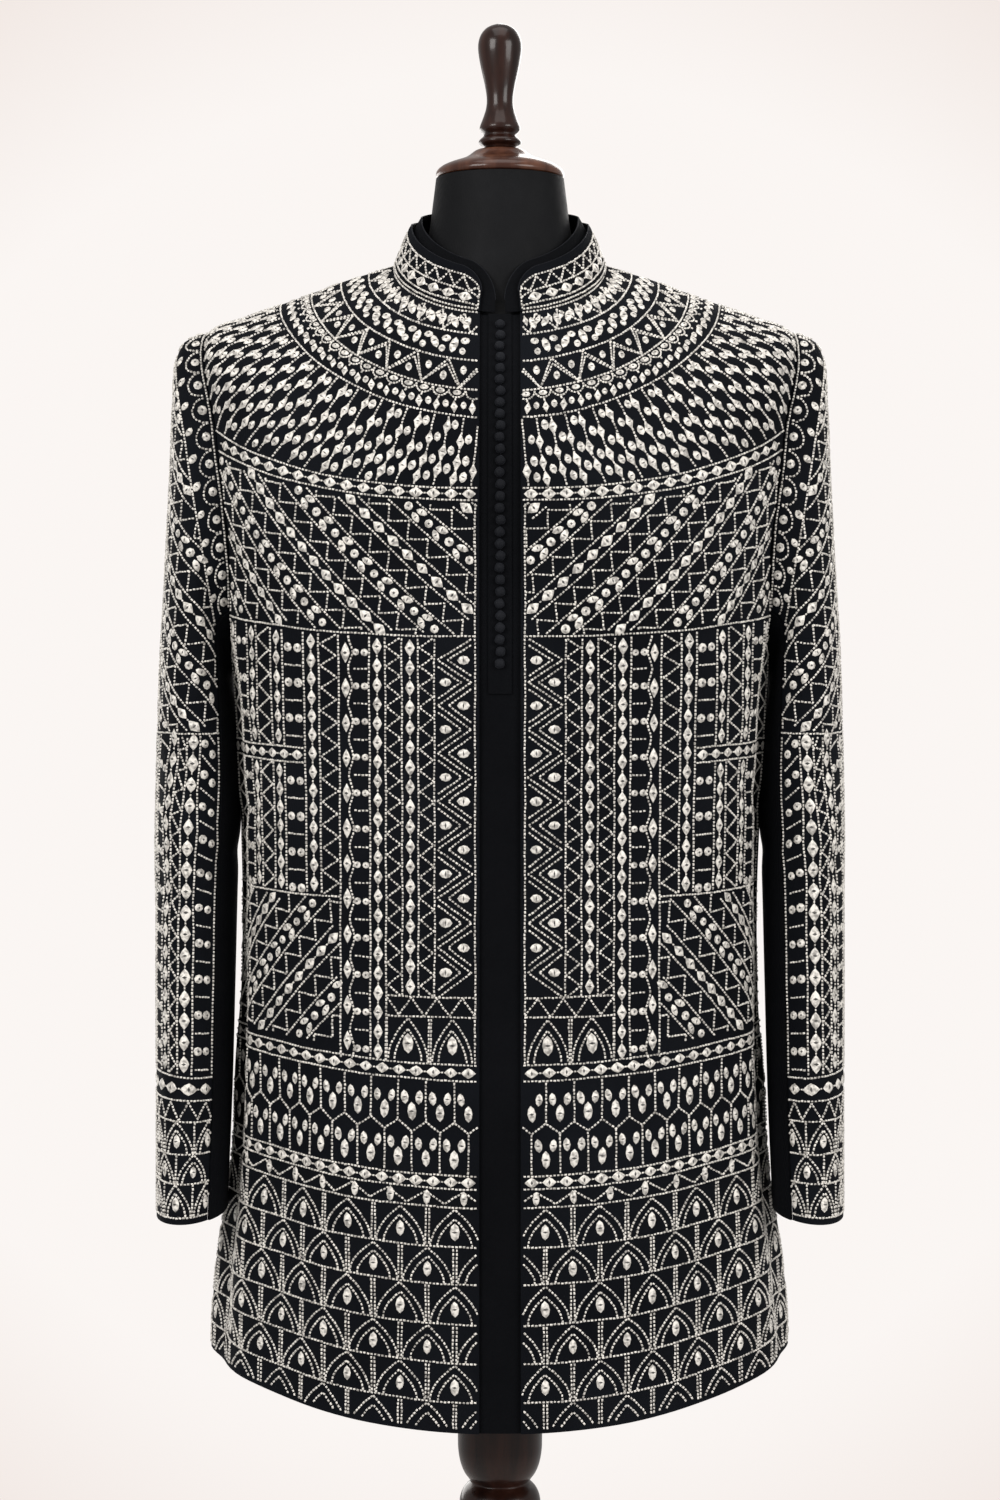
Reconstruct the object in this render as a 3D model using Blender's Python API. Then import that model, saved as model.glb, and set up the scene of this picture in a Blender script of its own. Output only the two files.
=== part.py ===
"""Indo-western jacket, worn by a limbless dress form on a turned stand.

Metres, +Z up, the front of the jacket faces -Y, and the origin is on the floor under the stand.
The names left and right are the wearer's, so left is +X.
"""

from collections import namedtuple
import math

import bmesh
import bpy
import numpy as np
from mathutils import Vector

# Cloth and clearances
CLOTH = 0.0020
INNER_CLOTH = 0.0015
SEAM_GAP = 0.0003
LAYER_GAP = 0.0008

# Jacket front
FRONT_OPENING = 0.0300
PANEL_HALF_WIDTH = 0.034
PLACKET_HALF_WIDTH = 0.0085
PLACKET_THICKNESS = 0.0010
PLACKET_END_HEIGHT = 1.131
BUTTON_COUNT = 30
BUTTON_TOP_HEIGHT = 1.4035
BUTTON_LOW_HEIGHT = 1.1530
BUTTON_WIDTH = 0.0074
BUTTON_RISE = 0.0042

# Collars: the outer one is worked over, the inner one is plain and meets over the buttons
COLLAR_CENTRE_Y = -0.004
COLLAR_BACK_Y = 0.070
Collar = namedtuple(
    "Collar", "name cloth height front_lean back_lean inset front_gap corner corner_height")
COLLARS = [
    Collar("collar", CLOTH, 0.0330, 0.83, 0.90, -0.0010, FRONT_OPENING, 0.022, 0.46),
    Collar("inner_collar", INNER_CLOTH, 0.0385, 0.76, 0.86, 0.0016, 0.0080, 0.030, 0.25),
]

# Armhole: an upright oval on the side of the body
ARMHOLE_HALF_DEPTH = 0.062

# Grid of the cloth: rows run from neck to hem, columns from centre front to centre back
ROWS_YOKE = 7
ROWS_ARMHOLE = 10
ROWS_SKIRT = 11
FRONT_COLUMNS = 10
BACK_COLUMNS = 18
PANEL_COLUMNS = 4
SLEEVE_HEAD_ROWS = 7
SLEEVE_ROWS = 11
SLEEVE_TOP_COLUMNS = 14
SLEEVE_UNDER_COLUMNS = 5
COLLAR_ROWS = 2
CORNER_STEPS = (0.0, 0.05, 0.17, 0.38, 0.66, 1.0)
DENSE = 181

# One row for each ring of the worn body, from the neck seam to the hem. A ring crosses the side
# seam at (side_x, 0, side_z), centre front at (0, front_y, front_z) and centre back at
# (0, back_y, back_z). Fullness is the power of its superellipse, where 2 is an ellipse. Drop is
# the power that eases its height from the side to the centre, where 1 is a straight line.
Ring = namedtuple("Ring", "name side_x side_z front_y front_z back_y back_z fullness drop")
BODY_RINGS = [
    Ring("neck", 0.0805, 1.4580, -0.0780, 1.4130, 0.0700, 1.4680, 2.10, 1.00),
    Ring("yoke_a", 0.1180, 1.4465, -0.0950, 1.3920, 0.0900, 1.4450, 2.15, 1.10),
    Ring("yoke_b", 0.1570, 1.4320, -0.1100, 1.3660, 0.1060, 1.4180, 2.25, 1.25),
    Ring("yoke_c", 0.1960, 1.4180, -0.1220, 1.3370, 0.1170, 1.3880, 2.35, 1.40),
    Ring("shoulder", 0.2225, 1.4060, -0.1300, 1.3100, 0.1240, 1.3560, 2.50, 1.50),
    Ring("band", 0.2220, 1.3350, -0.1360, 1.2780, 0.1270, 1.3050, 2.60, 1.50),
    Ring("chest", 0.2115, 1.2350, -0.1390, 1.2050, 0.1260, 1.2150, 2.55, 1.50),
    Ring("armpit", 0.2045, 1.1500, -0.1380, 1.1400, 0.1180, 1.1430, 2.45, 1.50),
    Ring("ribs", 0.2005, 1.0950, -0.1340, 1.0880, 0.1080, 1.0880, 2.35, 1.50),
    Ring("waist", 0.1965, 1.0050, -0.1300, 1.0000, 0.0990, 1.0000, 2.25, 1.60),
    Ring("hip", 0.1970, 0.8800, -0.1360, 0.8720, 0.1120, 0.8740, 2.20, 1.80),
    Ring("seat", 0.2020, 0.7800, -0.1450, 0.7670, 0.1280, 0.7730, 2.15, 2.00),
    Ring("skirt", 0.2140, 0.6920, -0.1510, 0.6720, 0.1370, 0.6840, 2.10, 2.40),
    Ring("hem", 0.2195, 0.6316, -0.1550, 0.6018, 0.1420, 0.6210, 2.10, 2.10),
]

# The dress form has rings of the same kind for its neck. Below it follows the jacket, with an ease
# under the cloth that a row states on the shoulder or side seam and at the centre, for a level
# some way below a named ring of the jacket.
FORM_NECK = [
    Ring("neck_top", 0.0492, 1.5243, -0.0492, 1.5243, 0.0472, 1.5243, 2.00, 1.50),
    Ring("neck_high", 0.0515, 1.5060, -0.0525, 1.5010, 0.0508, 1.5050, 2.00, 1.50),
    Ring("neck_low", 0.0548, 1.4830, -0.0565, 1.4600, 0.0545, 1.4830, 2.00, 1.30),
    Ring("neck_base", 0.0590, 1.4690, -0.0595, 1.4360, 0.0575, 1.4730, 2.00, 1.10),
    Ring("neck_root", 0.0660, 1.4612, -0.0640, 1.4190, 0.0615, 1.4665, 2.05, 1.00),
]
Ease = namedtuple("Ease", "ring below seam centre")
FORM_EASES = [
    Ease("neck", 0.000, 0.0005, 0.0050),
    Ease("shoulder", 0.000, 0.0005, 0.0065),
    Ease("shoulder", 0.005, 0.0040, 0.0070),
    Ease("band", 0.000, 0.0060, 0.0070),
    Ease("armpit", 0.000, 0.0080, 0.0080),
    Ease("waist", 0.000, 0.0100, 0.0100),
    Ease("hip", 0.000, 0.0120, 0.0120),
    Ease("skirt", 0.000, 0.0180, 0.0220),
]
FORM_FOOT_HEIGHT = 0.760

# One row for each ring of a sleeve, from the armhole to the cuff. Each is an oval through an outer
# point and an inner point at the middle of its depth, with the given half depth along Y.
Cuff = namedtuple("Cuff", "out_x out_z in_x in_z half_depth middle_y")
SLEEVE_RINGS = [
    Cuff(0.2225, 1.4060, 0.2045, 1.1500, 0.0620, 0.0000),
    Cuff(0.2325, 1.4040, 0.2073, 1.1460, 0.0650, 0.0000),
    Cuff(0.2415, 1.3990, 0.2085, 1.1415, 0.0672, 0.0005),
    Cuff(0.2468, 1.3880, 0.2080, 1.1360, 0.0685, 0.0010),
    Cuff(0.2498, 1.3560, 0.2064, 1.1260, 0.0695, 0.0015),
    Cuff(0.2523, 1.3000, 0.2040, 1.1090, 0.0700, 0.0020),
    Cuff(0.2562, 1.2250, 0.2022, 1.0860, 0.0695, 0.0025),
    Cuff(0.2600, 1.1250, 0.2006, 1.0480, 0.0680, 0.0020),
    Cuff(0.2620, 1.0250, 0.2030, 0.9930, 0.0660, -0.0020),
    Cuff(0.2614, 0.9250, 0.2042, 0.9120, 0.0635, -0.0120),
    Cuff(0.2592, 0.8250, 0.2052, 0.8220, 0.0605, -0.0280),
    Cuff(0.2572, 0.7400, 0.2072, 0.7420, 0.0580, -0.0450),
]
HEAD_RINGS = 4
UNDER_SLEEVE_START = math.radians(132)

# Turned profiles, from the top down
Turn = namedtuple("Turn", "radius height")
FINIAL = [
    Turn(0.0000, 1.6443), Turn(0.0092, 1.6417), Turn(0.0142, 1.6369), Turn(0.0166, 1.6308),
    Turn(0.0170, 1.6246), Turn(0.0160, 1.6169), Turn(0.0142, 1.6077), Turn(0.0116, 1.5969),
    Turn(0.0099, 1.5862), Turn(0.0106, 1.5785), Turn(0.0132, 1.5708), Turn(0.0157, 1.5646),
    Turn(0.0156, 1.5619), Turn(0.0124, 1.5590), Turn(0.0124, 1.5572), Turn(0.0163, 1.5540),
    Turn(0.0165, 1.5515), Turn(0.0125, 1.5496), Turn(0.0120, 1.5473), Turn(0.0000, 1.5473),
]
NECK_CAP = [
    Turn(0.0000, 1.5470), Turn(0.0165, 1.5470), Turn(0.0200, 1.5455), Turn(0.0235, 1.5425),
    Turn(0.0275, 1.5400), Turn(0.0330, 1.5380), Turn(0.0400, 1.5357), Turn(0.0455, 1.5332),
    Turn(0.0486, 1.5304), Turn(0.0495, 1.5276), Turn(0.0488, 1.5256), Turn(0.0470, 1.5246),
    Turn(0.0000, 1.5246),
]
COLUMN = [
    Turn(0.0000, 0.7597), Turn(0.0327, 0.7597), Turn(0.0327, 0.5560), Turn(0.0318, 0.5430),
    Turn(0.0285, 0.5320), Turn(0.0230, 0.5250), Turn(0.0226, 0.5235), Turn(0.0280, 0.5185),
    Turn(0.0308, 0.5120), Turn(0.0312, 0.5060), Turn(0.0296, 0.4990), Turn(0.0230, 0.4930),
    Turn(0.0200, 0.4880), Turn(0.0215, 0.4400), Turn(0.0262, 0.3600), Turn(0.0285, 0.2800),
    Turn(0.0262, 0.2000), Turn(0.0205, 0.1300), Turn(0.0200, 0.1150), Turn(0.0290, 0.1060),
    Turn(0.0330, 0.0960), Turn(0.0330, 0.0860), Turn(0.0300, 0.0763), Turn(0.0000, 0.0763),
]
BASE = [
    Turn(0.0000, 0.0760), Turn(0.0420, 0.0760), Turn(0.0520, 0.0700), Turn(0.0620, 0.0560),
    Turn(0.0900, 0.0430), Turn(0.1500, 0.0350), Turn(0.1900, 0.0290), Turn(0.2020, 0.0210),
    Turn(0.2050, 0.0120), Turn(0.2020, 0.0000), Turn(0.0000, 0.0000),
]
TURNED_SIDES = 20
BASE_SIDES = 32

# Finishes: colour, roughness, metallic
FINISHES = {
    "worked_cloth": ((0.012, 0.014, 0.019), 0.80, 0.0),
    "plain_cloth": ((0.007, 0.008, 0.011), 0.82, 0.0),
    "button_thread": ((0.009, 0.010, 0.014), 0.62, 0.0),
    "form_cover": ((0.016, 0.017, 0.019), 0.70, 0.0),
    "dark_wood": ((0.045, 0.020, 0.014), 0.22, 0.0),
    "cap_wood": ((0.095, 0.038, 0.022), 0.24, 0.0),
}


def clear_scene():
    for thing in list(bpy.data.objects):
        bpy.data.objects.remove(thing)


def finish(name):
    """The material of that name, made on first use."""
    made = bpy.data.materials.get(name)
    if made:
        return made
    colour, roughness, metallic = FINISHES[name]
    made = bpy.data.materials.new(name)
    made.use_nodes = True
    shader = made.node_tree.nodes["Principled BSDF"]
    shader.inputs["Base Color"].default_value = (*colour, 1.0)
    shader.inputs["Roughness"].default_value = roughness
    shader.inputs["Metallic"].default_value = metallic
    return made


def smooth_rows(knots, rows, at):
    """Rows of numbers read from a smooth curve through the given rows, at one or more places."""
    knots = np.asarray(knots, float)
    rows = np.asarray(rows, float)
    slopes = np.gradient(rows, knots, axis=0)
    at = np.atleast_1d(np.asarray(at, float))
    i = np.clip(np.searchsorted(knots, at, side="right") - 1, 0, len(knots) - 2)
    span = (knots[i + 1] - knots[i])[:, None]
    t = (at[:, None] - knots[i][:, None]) / span
    start = (1 + 2 * t) * (1 - t) ** 2 * rows[i] + t * (1 - t) ** 2 * span * slopes[i]
    end = t * t * (3 - 2 * t) * rows[i + 1] + t * t * (t - 1) * span * slopes[i + 1]
    return start + end


def path_lengths(points):
    """Distance along a run of points, from 0 at the first."""
    steps = np.linalg.norm(np.diff(points, axis=0), axis=1)
    return np.concatenate([[0.0], np.cumsum(steps)])


def units(vectors):
    return vectors / np.linalg.norm(vectors, axis=-1, keepdims=True)


def half_ring_points(values):
    """Half a ring from a row of its table, as points from centre front to centre back."""
    side_x, side_z, front_y, front_z, back_y, back_z, fullness, drop = values
    turn = np.linspace(0.0, math.pi, DENSE)
    across = np.sin(turn).clip(0.0) ** (2 / fullness)
    along = np.abs(np.cos(turn)) ** (2 / fullness)
    rise = np.abs(np.cos(turn)) ** drop
    ahead = turn < math.pi / 2
    x = side_x * across
    y = np.where(ahead, front_y, back_y) * along
    z = side_z + (np.where(ahead, front_z, back_z) - side_z) * rise
    return np.column_stack([x, y, z])


class RingLoft:
    """A surface through a table of rings. A level is a distance down it, the mean of side and front."""

    def __init__(self, rings):
        self.values = np.array([ring[1:] for ring in rings])
        side = path_lengths(self.values[:, [0, 1]])
        front = path_lengths(self.values[:, [2, 3]])
        self.knots = (side + front) / 2
        self.levels = {ring.name: level for ring, level in zip(rings, self.knots)}

    def half_ring(self, level):
        """Points on the wearer's left half of the ring at that level, centre front to centre back."""
        return half_ring_points(smooth_rows(self.knots, self.values, level)[0])

    def at(self, level, arcs):
        """Points at distances along the ring from centre front, the wearer's left being positive."""
        points = self.half_ring(level)
        lengths = path_lengths(points)
        folded = np.abs(arcs)
        past = folded > lengths[-1]
        folded = np.where(past, 2 * lengths[-1] - folded, folded)
        side = np.where((arcs < 0) != past, -1.0, 1.0)
        found = np.column_stack([np.interp(folded, lengths, points[:, k]) for k in range(3)])
        found[:, 0] *= side
        return found

    def outward(self, level, arcs):
        """Unit normals of the surface at those points."""
        step = 0.0015
        ahead = self.at(level, arcs + step) - self.at(level, arcs - step)
        below = self.at(level + step, arcs) - self.at(level - step, arcs)
        return units(np.cross(below, ahead))

    def side_arc(self, level):
        points = self.half_ring(level)
        return float(np.interp(0.0, points[:, 1], path_lengths(points)))

    def whole_arc(self, level):
        return float(path_lengths(self.half_ring(level))[-1])

    def arc_at_x(self, level, x):
        """Distance along the ring from centre front to where it is x out."""
        points = self.half_ring(level)[: DENSE // 2]
        return float(np.interp(x, points[:, 0], path_lengths(points)))

    def level_at_front_height(self, height):
        """The level whose centre front lies at that height."""
        steps = np.linspace(self.knots[0], self.knots[-1], 400)
        heights = smooth_rows(self.knots, self.values, steps)[:, 3]
        return float(np.interp(-height, -heights, steps))


BODY = RingLoft(BODY_RINGS)
ARMHOLE_TOP = BODY_RINGS[4].side_z
ARMHOLE_FOOT = BODY_RINGS[7].side_z


def armhole_share(points):
    """Below 1 inside the armhole's oval, 1 on its edge."""
    middle = (ARMHOLE_TOP + ARMHOLE_FOOT) / 2
    half_height = (ARMHOLE_TOP - ARMHOLE_FOOT) / 2
    return (points[:, 1] / ARMHOLE_HALF_DEPTH) ** 2 + ((points[:, 2] - middle) / half_height) ** 2


def panel_edges(level):
    """Where the front panel ends and the back panel starts on the ring: seam or armhole."""
    points = BODY.half_ring(level)
    lengths = path_lengths(points)
    inside = armhole_share(points) < 1
    seam = BODY.side_arc(level)
    if not inside.any() or not BODY.levels["shoulder"] < level < BODY.levels["armpit"]:
        return seam - SEAM_GAP / 2, seam + SEAM_GAP / 2
    first, last = np.flatnonzero(inside)[[0, -1]]
    share = armhole_share(points)
    front = np.interp(1.0, share[[first, first - 1]], lengths[[first, first - 1]])
    back = np.interp(1.0, share[[last, last + 1]], lengths[[last, last + 1]])
    return min(front, seam - SEAM_GAP / 2), max(back, seam + SEAM_GAP / 2)


def cloth_levels():
    """The rows of the body's cloth, closer together at the top and foot of the armhole."""
    neck, shoulder = BODY.levels["neck"], BODY.levels["shoulder"]
    armpit, hem = BODY.levels["armpit"], BODY.levels["hem"]
    turn = np.linspace(0, math.pi, ROWS_ARMHOLE + 1)[1:-1]
    return np.concatenate([
        np.linspace(neck, shoulder, ROWS_YOKE + 1),
        shoulder + (armpit - shoulder) * (1 - np.cos(turn)) / 2,
        np.linspace(armpit, hem, ROWS_SKIRT + 1),
    ])


def mirrored(points):
    return points * np.array([-1.0, 1.0, 1.0])


def link(name, mesh, material):
    made = bpy.data.objects.new(name, mesh)
    bpy.context.scene.collection.objects.link(made)
    mesh.materials.append(finish(material))
    mesh.shade_smooth()
    mesh.set_sharp_from_angle(angle=math.radians(40))
    return made


def cloth(name, outer, inner, material):
    """A wall of cloth between two grids of points. Each grid is rows of points."""
    rows, columns = outer.shape[:2]
    shape = bmesh.new()
    faces = [[shape.verts.new(tuple(p)) for p in grid.reshape(-1, 3)] for grid in (outer, inner)]
    for verts in faces:
        for r in range(rows - 1):
            for c in range(columns - 1):
                a = r * columns + c
                shape.faces.new([verts[k] for k in (a, a + columns, a + columns + 1, a + 1)])
    across = list(range(columns))
    down = [r * columns for r in range(rows)]
    last = (rows - 1) * columns
    edges = [across, down, [last + c for c in across], [r + columns - 1 for r in down]]
    for edge in edges:
        for a, b in zip(edge, edge[1:]):
            shape.faces.new([faces[0][a], faces[0][b], faces[1][b], faces[1][a]])
    bmesh.ops.recalc_face_normals(shape, faces=shape.faces)
    mesh = bpy.data.meshes.new(name)
    shape.to_mesh(mesh)
    shape.free()
    return link(name, mesh, material)


def pair_of(name, outer, inner, material):
    """The same piece on both sides of the body."""
    cloth(f"{name}_left", outer, inner, material)
    cloth(f"{name}_right", mirrored(outer), mirrored(inner), material)


def front_arcs(level):
    start = BODY.arc_at_x(level, FRONT_OPENING / 2)
    return np.linspace(start, panel_edges(level)[0], FRONT_COLUMNS + 1)


def back_arcs(level):
    """Distances across the back, from the wearer's left seam to the right one."""
    whole = BODY.whole_arc(level)
    reach = whole - panel_edges(level)[1]
    return whole + np.linspace(-reach, reach, BACK_COLUMNS + 1)


def body_grid(levels, arcs_at, depth):
    """Rows of points on the worn body, sunk below its surface by the depth."""
    rows = []
    for level in levels:
        arcs = arcs_at(level)
        rows.append(BODY.at(level, arcs) - BODY.outward(level, arcs) * depth)
    return np.array(rows)


def make_body_panels():
    levels = cloth_levels()
    front = [body_grid(levels, front_arcs, depth) for depth in (0.0, CLOTH)]
    pair_of("front", *front, "worked_cloth")
    back = [body_grid(levels, back_arcs, depth) for depth in (0.0, CLOTH)]
    cloth("back", *back, "worked_cloth")


def panel_arcs(level):
    return np.linspace(-PANEL_HALF_WIDTH, PANEL_HALF_WIDTH, PANEL_COLUMNS + 1)


def placket_arcs(level):
    return np.linspace(-PLACKET_HALF_WIDTH, PLACKET_HALF_WIDTH, 3)


def make_centre_panel():
    """The plain inner panel that shows between the fronts, with its raised button placket."""
    sunk = CLOTH + LAYER_GAP
    levels = cloth_levels()
    walls = [body_grid(levels, panel_arcs, depth) for depth in (sunk, sunk + INNER_CLOTH)]
    cloth("centre_panel", *walls, "plain_cloth")
    end = BODY.level_at_front_height(PLACKET_END_HEIGHT)
    levels = np.concatenate([levels[levels < end - 0.004], [end]])
    under = sunk - SEAM_GAP
    walls = [body_grid(levels, placket_arcs, depth) for depth in (under - PLACKET_THICKNESS, under)]
    cloth("button_placket", *walls, "plain_cloth")


def make_buttons():
    """Small domed buttons, close together down the placket."""
    raised = CLOTH + LAYER_GAP - 2 * SEAM_GAP - PLACKET_THICKNESS
    heights = np.linspace(BUTTON_TOP_HEIGHT, BUTTON_LOW_HEIGHT, BUTTON_COUNT)
    for number, height in enumerate(heights, start=1):
        level = BODY.level_at_front_height(height)
        middle = np.array([0.0])
        outward = BODY.outward(level, middle)[0]
        spot = BODY.at(level, middle)[0] - outward * raised
        shape = bmesh.new()
        bmesh.ops.create_uvsphere(shape, u_segments=8, v_segments=6, radius=BUTTON_WIDTH / 2)
        everything = shape.verts[:] + shape.edges[:] + shape.faces[:]
        cut = bmesh.ops.bisect_plane(
            shape, geom=everything, plane_co=(0, 0, -0.0009), plane_no=(0, 0, -1), clear_outer=True)
        rim = [e for e in cut["geom_cut"] if isinstance(e, bmesh.types.BMEdge)]
        bmesh.ops.contextual_create(shape, geom=rim)
        foot = min(v.co.z for v in shape.verts)
        top = max(v.co.z for v in shape.verts)
        for vert in shape.verts:
            vert.co.z = (vert.co.z - foot) * BUTTON_RISE / (top - foot)
        bmesh.ops.recalc_face_normals(shape, faces=shape.faces)
        mesh = bpy.data.meshes.new(f"button_{number:02d}")
        shape.to_mesh(mesh)
        shape.free()
        made = link(mesh.name, mesh, "button_thread")
        made.location = Vector(spot)
        made.rotation_mode = "QUATERNION"
        made.rotation_quaternion = Vector(outward).to_track_quat("Z", "Y")


def neck_edge():
    """Distances round half the neck seam at which the panels' own points lie."""
    neck = BODY.levels["neck"]
    back = back_arcs(neck)[: BACK_COLUMNS // 2 + 1]
    return np.concatenate([front_arcs(neck), back])


def collar_grid(collar, depth):
    """A standing band along the neck seam, with the two front corners rounded."""
    neck = BODY.levels["neck"]
    start = BODY.arc_at_x(neck, collar.front_gap / 2)
    known = np.union1d([start], neck_edge())
    placed = BODY.at(neck, known)
    corner_arcs = start + collar.corner * np.array(CORNER_STEPS)
    arcs = np.union1d(corner_arcs, known[known > start])
    base = np.column_stack([np.interp(arcs, known, placed[:, k]) for k in range(3)])
    middle = np.array([0.0, COLLAR_CENTRE_Y])
    reach = base[:, :2] - middle
    radius = np.linalg.norm(reach, axis=1, keepdims=True)
    near = 1 - np.clip((arcs - start) / collar.corner, 0, 1)
    corner = collar.corner_height + (1 - collar.corner_height) * np.sqrt(1 - near ** 2)
    behind = np.clip(base[:, 1] / COLLAR_BACK_Y, 0, 1)
    top_lean = collar.front_lean + (collar.back_lean - collar.front_lean) * behind
    rows = []
    for r in range(COLLAR_ROWS + 1):
        up = corner * r / COLLAR_ROWS
        lean = 1 - ((1 - top_lean) * up)[:, None]
        flat = middle + reach * (lean - (collar.inset + depth) / radius)
        height = base[:, 2] + 2 * SEAM_GAP + collar.height * up
        side = np.column_stack([flat, height])
        rows.append(np.concatenate([side, mirrored(side[-2::-1])]))
    return np.array(rows)


def make_collars():
    for collar in COLLARS:
        material = "worked_cloth" if collar.name == "collar" else "plain_cloth"
        walls = [collar_grid(collar, depth) for depth in (0.0, collar.cloth)]
        cloth(collar.name, *walls, material)


def armhole_point(turn):
    """The point on the body's side where the armhole edge lies, at a turn from its top to the front."""
    y = -ARMHOLE_HALF_DEPTH * math.sin(turn)
    middle = (ARMHOLE_TOP + ARMHOLE_FOOT) / 2
    z = middle + (ARMHOLE_TOP - ARMHOLE_FOOT) / 2 * math.cos(turn)
    high, low = BODY.levels["yoke_b"], BODY.levels["ribs"]
    for _ in range(40):
        level = (high + low) / 2
        ring = BODY.half_ring(level)
        if np.interp(y, ring[:, 1], ring[:, 2]) > z:
            high = level
        else:
            low = level
    return np.array([np.interp(y, ring[:, 1], ring[:, 0]), y, z])


SLEEVE_VALUES = np.array(SLEEVE_RINGS)
SLEEVE_KNOTS = (path_lengths(SLEEVE_VALUES[:, [0, 1]]) + path_lengths(SLEEVE_VALUES[:, [2, 3]])) / 2


def sleeve_oval(place, turns):
    """Points round the sleeve at one place along it. Turn 0 is outermost, a quarter is the front."""
    out_x, out_z, in_x, in_z, half_depth, middle_y = smooth_rows(
        SLEEVE_KNOTS, SLEEVE_VALUES, place)[0]
    swing = np.cos(turns)
    x = (out_x + in_x) / 2 + (out_x - in_x) / 2 * swing
    z = (out_z + in_z) / 2 + (out_z - in_z) / 2 * swing
    return np.column_stack([x, middle_y - half_depth * np.sin(turns), z])


class SleeveFace:
    """The outer face of the left sleeve at set turns. Its first ring is the armhole edge."""

    def __init__(self, turns):
        self.turns = turns
        edge = np.array([armhole_point(turn) for turn in turns])
        self.drift = edge - sleeve_oval(0.0, turns)

    def at(self, place):
        fade = max(0.0, 1 - place / SLEEVE_KNOTS[HEAD_RINGS]) ** 2
        return sleeve_oval(place, self.turns) + self.drift * fade + np.array([2 * SEAM_GAP, 0, 0])


def sleeve_grids(turns):
    """Outer and inner rows of points along the sleeve, from the armhole to the cuff."""
    step = 0.01
    face, before, after = (SleeveFace(turns + turn) for turn in (0.0, -step, step))
    head = SLEEVE_KNOTS[HEAD_RINGS]
    places = np.concatenate([
        np.linspace(0, head, SLEEVE_HEAD_ROWS + 1),
        np.linspace(head, SLEEVE_KNOTS[-1], SLEEVE_ROWS + 1)[1:],
    ])
    outer, inner = [], []
    for place in places:
        points = face.at(place)
        along = face.at(place + 0.002) - face.at(place - 0.002)
        normals = units(np.cross(after.at(place) - before.at(place), along))
        outer.append(points)
        inner.append(points - normals * CLOTH)
    return np.array(outer), np.array(inner)


def make_sleeves():
    """Each sleeve is cut in two: a wide top sleeve and a plain under sleeve."""
    gap = SEAM_GAP / (2 * ARMHOLE_HALF_DEPTH)
    start = UNDER_SLEEVE_START
    top_turns = np.linspace(-start + gap, start - gap, SLEEVE_TOP_COLUMNS + 1)
    under_turns = np.linspace(start + gap, 2 * math.pi - start - gap, SLEEVE_UNDER_COLUMNS + 1)
    pair_of("sleeve_top", *sleeve_grids(top_turns), "worked_cloth")
    pair_of("sleeve_under", *sleeve_grids(under_turns), "plain_cloth")


def form_ring(level):
    """The left half of the form at one of the jacket's levels, from centre front to centre back."""
    seam = BODY.side_arc(level)
    front = front_arcs(level)
    if level > BODY.levels["shoulder"]:
        front = np.linspace(front[0], seam, FRONT_COLUMNS + 1)
    back = np.linspace(seam, BODY.whole_arc(level), BACK_COLUMNS // 2 + 1)[1:]
    arcs = np.concatenate([[0.0], front, back])
    reach = np.where(arcs < seam, seam, back[-1] - seam)
    share = np.abs(arcs - seam) / reach
    share = share * share * (3 - 2 * share)
    knots = [BODY.levels[ease.ring] + ease.below for ease in FORM_EASES]
    at_seam = np.interp(level, knots, [ease.seam for ease in FORM_EASES])
    at_centre = np.interp(level, knots, [ease.centre for ease in FORM_EASES])
    depth = CLOTH + at_seam + (at_centre - at_seam) * share
    return BODY.at(level, arcs) - BODY.outward(level, arcs) * depth[:, None]


def form_neck_ring(row):
    """The left half of a neck ring, with as many points as the form has below it."""
    points = half_ring_points(row[1:])
    lengths = path_lengths(points)
    side = np.interp(0.0, points[:, 1], lengths)
    front = np.linspace(0.0, side, FRONT_COLUMNS + 2)
    back = np.linspace(side, lengths[-1], BACK_COLUMNS // 2 + 1)[1:]
    arcs = np.concatenate([front, back])
    return np.column_stack([np.interp(arcs, lengths, points[:, k]) for k in range(3)])


def make_form():
    """The limbless dress form, one smooth closed body from its neck to its flat underside."""
    halves = [form_neck_ring(row) for row in FORM_NECK]
    for level in cloth_levels():
        half = form_ring(level)
        if half[:, 2].min() > FORM_FOOT_HEIGHT + 0.01:
            halves.append(half)
    foot = form_ring(BODY.level_at_front_height(FORM_FOOT_HEIGHT))
    foot[:, 2] = FORM_FOOT_HEIGHT
    halves.append(foot)
    shape = bmesh.new()
    loops = []
    for half in halves:
        half[[0, -1], 0] = 0.0
        ring = np.concatenate([half, mirrored(half[-2:0:-1])])
        loops.append([shape.verts.new(tuple(p)) for p in ring])
    for upper, lower in zip(loops, loops[1:]):
        for k in range(len(upper)):
            n = (k + 1) % len(upper)
            shape.faces.new((upper[k], lower[k], lower[n], upper[n]))
    shape.faces.new(loops[0])
    shape.faces.new(loops[-1][::-1])
    bmesh.ops.recalc_face_normals(shape, faces=shape.faces)
    mesh = bpy.data.meshes.new("form_body")
    shape.to_mesh(mesh)
    shape.free()
    link("form_body", mesh, "form_cover")


def turned(name, profile, sides, material):
    """A solid turned about the stand's upright axis from a profile that starts and ends on it."""
    shape = bmesh.new()
    points = [shape.verts.new((turn.radius, 0.0, turn.height)) for turn in profile]
    edges = [shape.edges.new(pair) for pair in zip(points, points[1:])]
    bmesh.ops.spin(shape, geom=points + edges, cent=(0, 0, 0), axis=(0, 0, 1),
                   angle=2 * math.pi, steps=sides, use_merge=True)
    bmesh.ops.remove_doubles(shape, verts=shape.verts, dist=1e-6)
    bmesh.ops.recalc_face_normals(shape, faces=shape.faces)
    mesh = bpy.data.meshes.new(name)
    shape.to_mesh(mesh)
    shape.free()
    return link(name, mesh, material)


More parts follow.
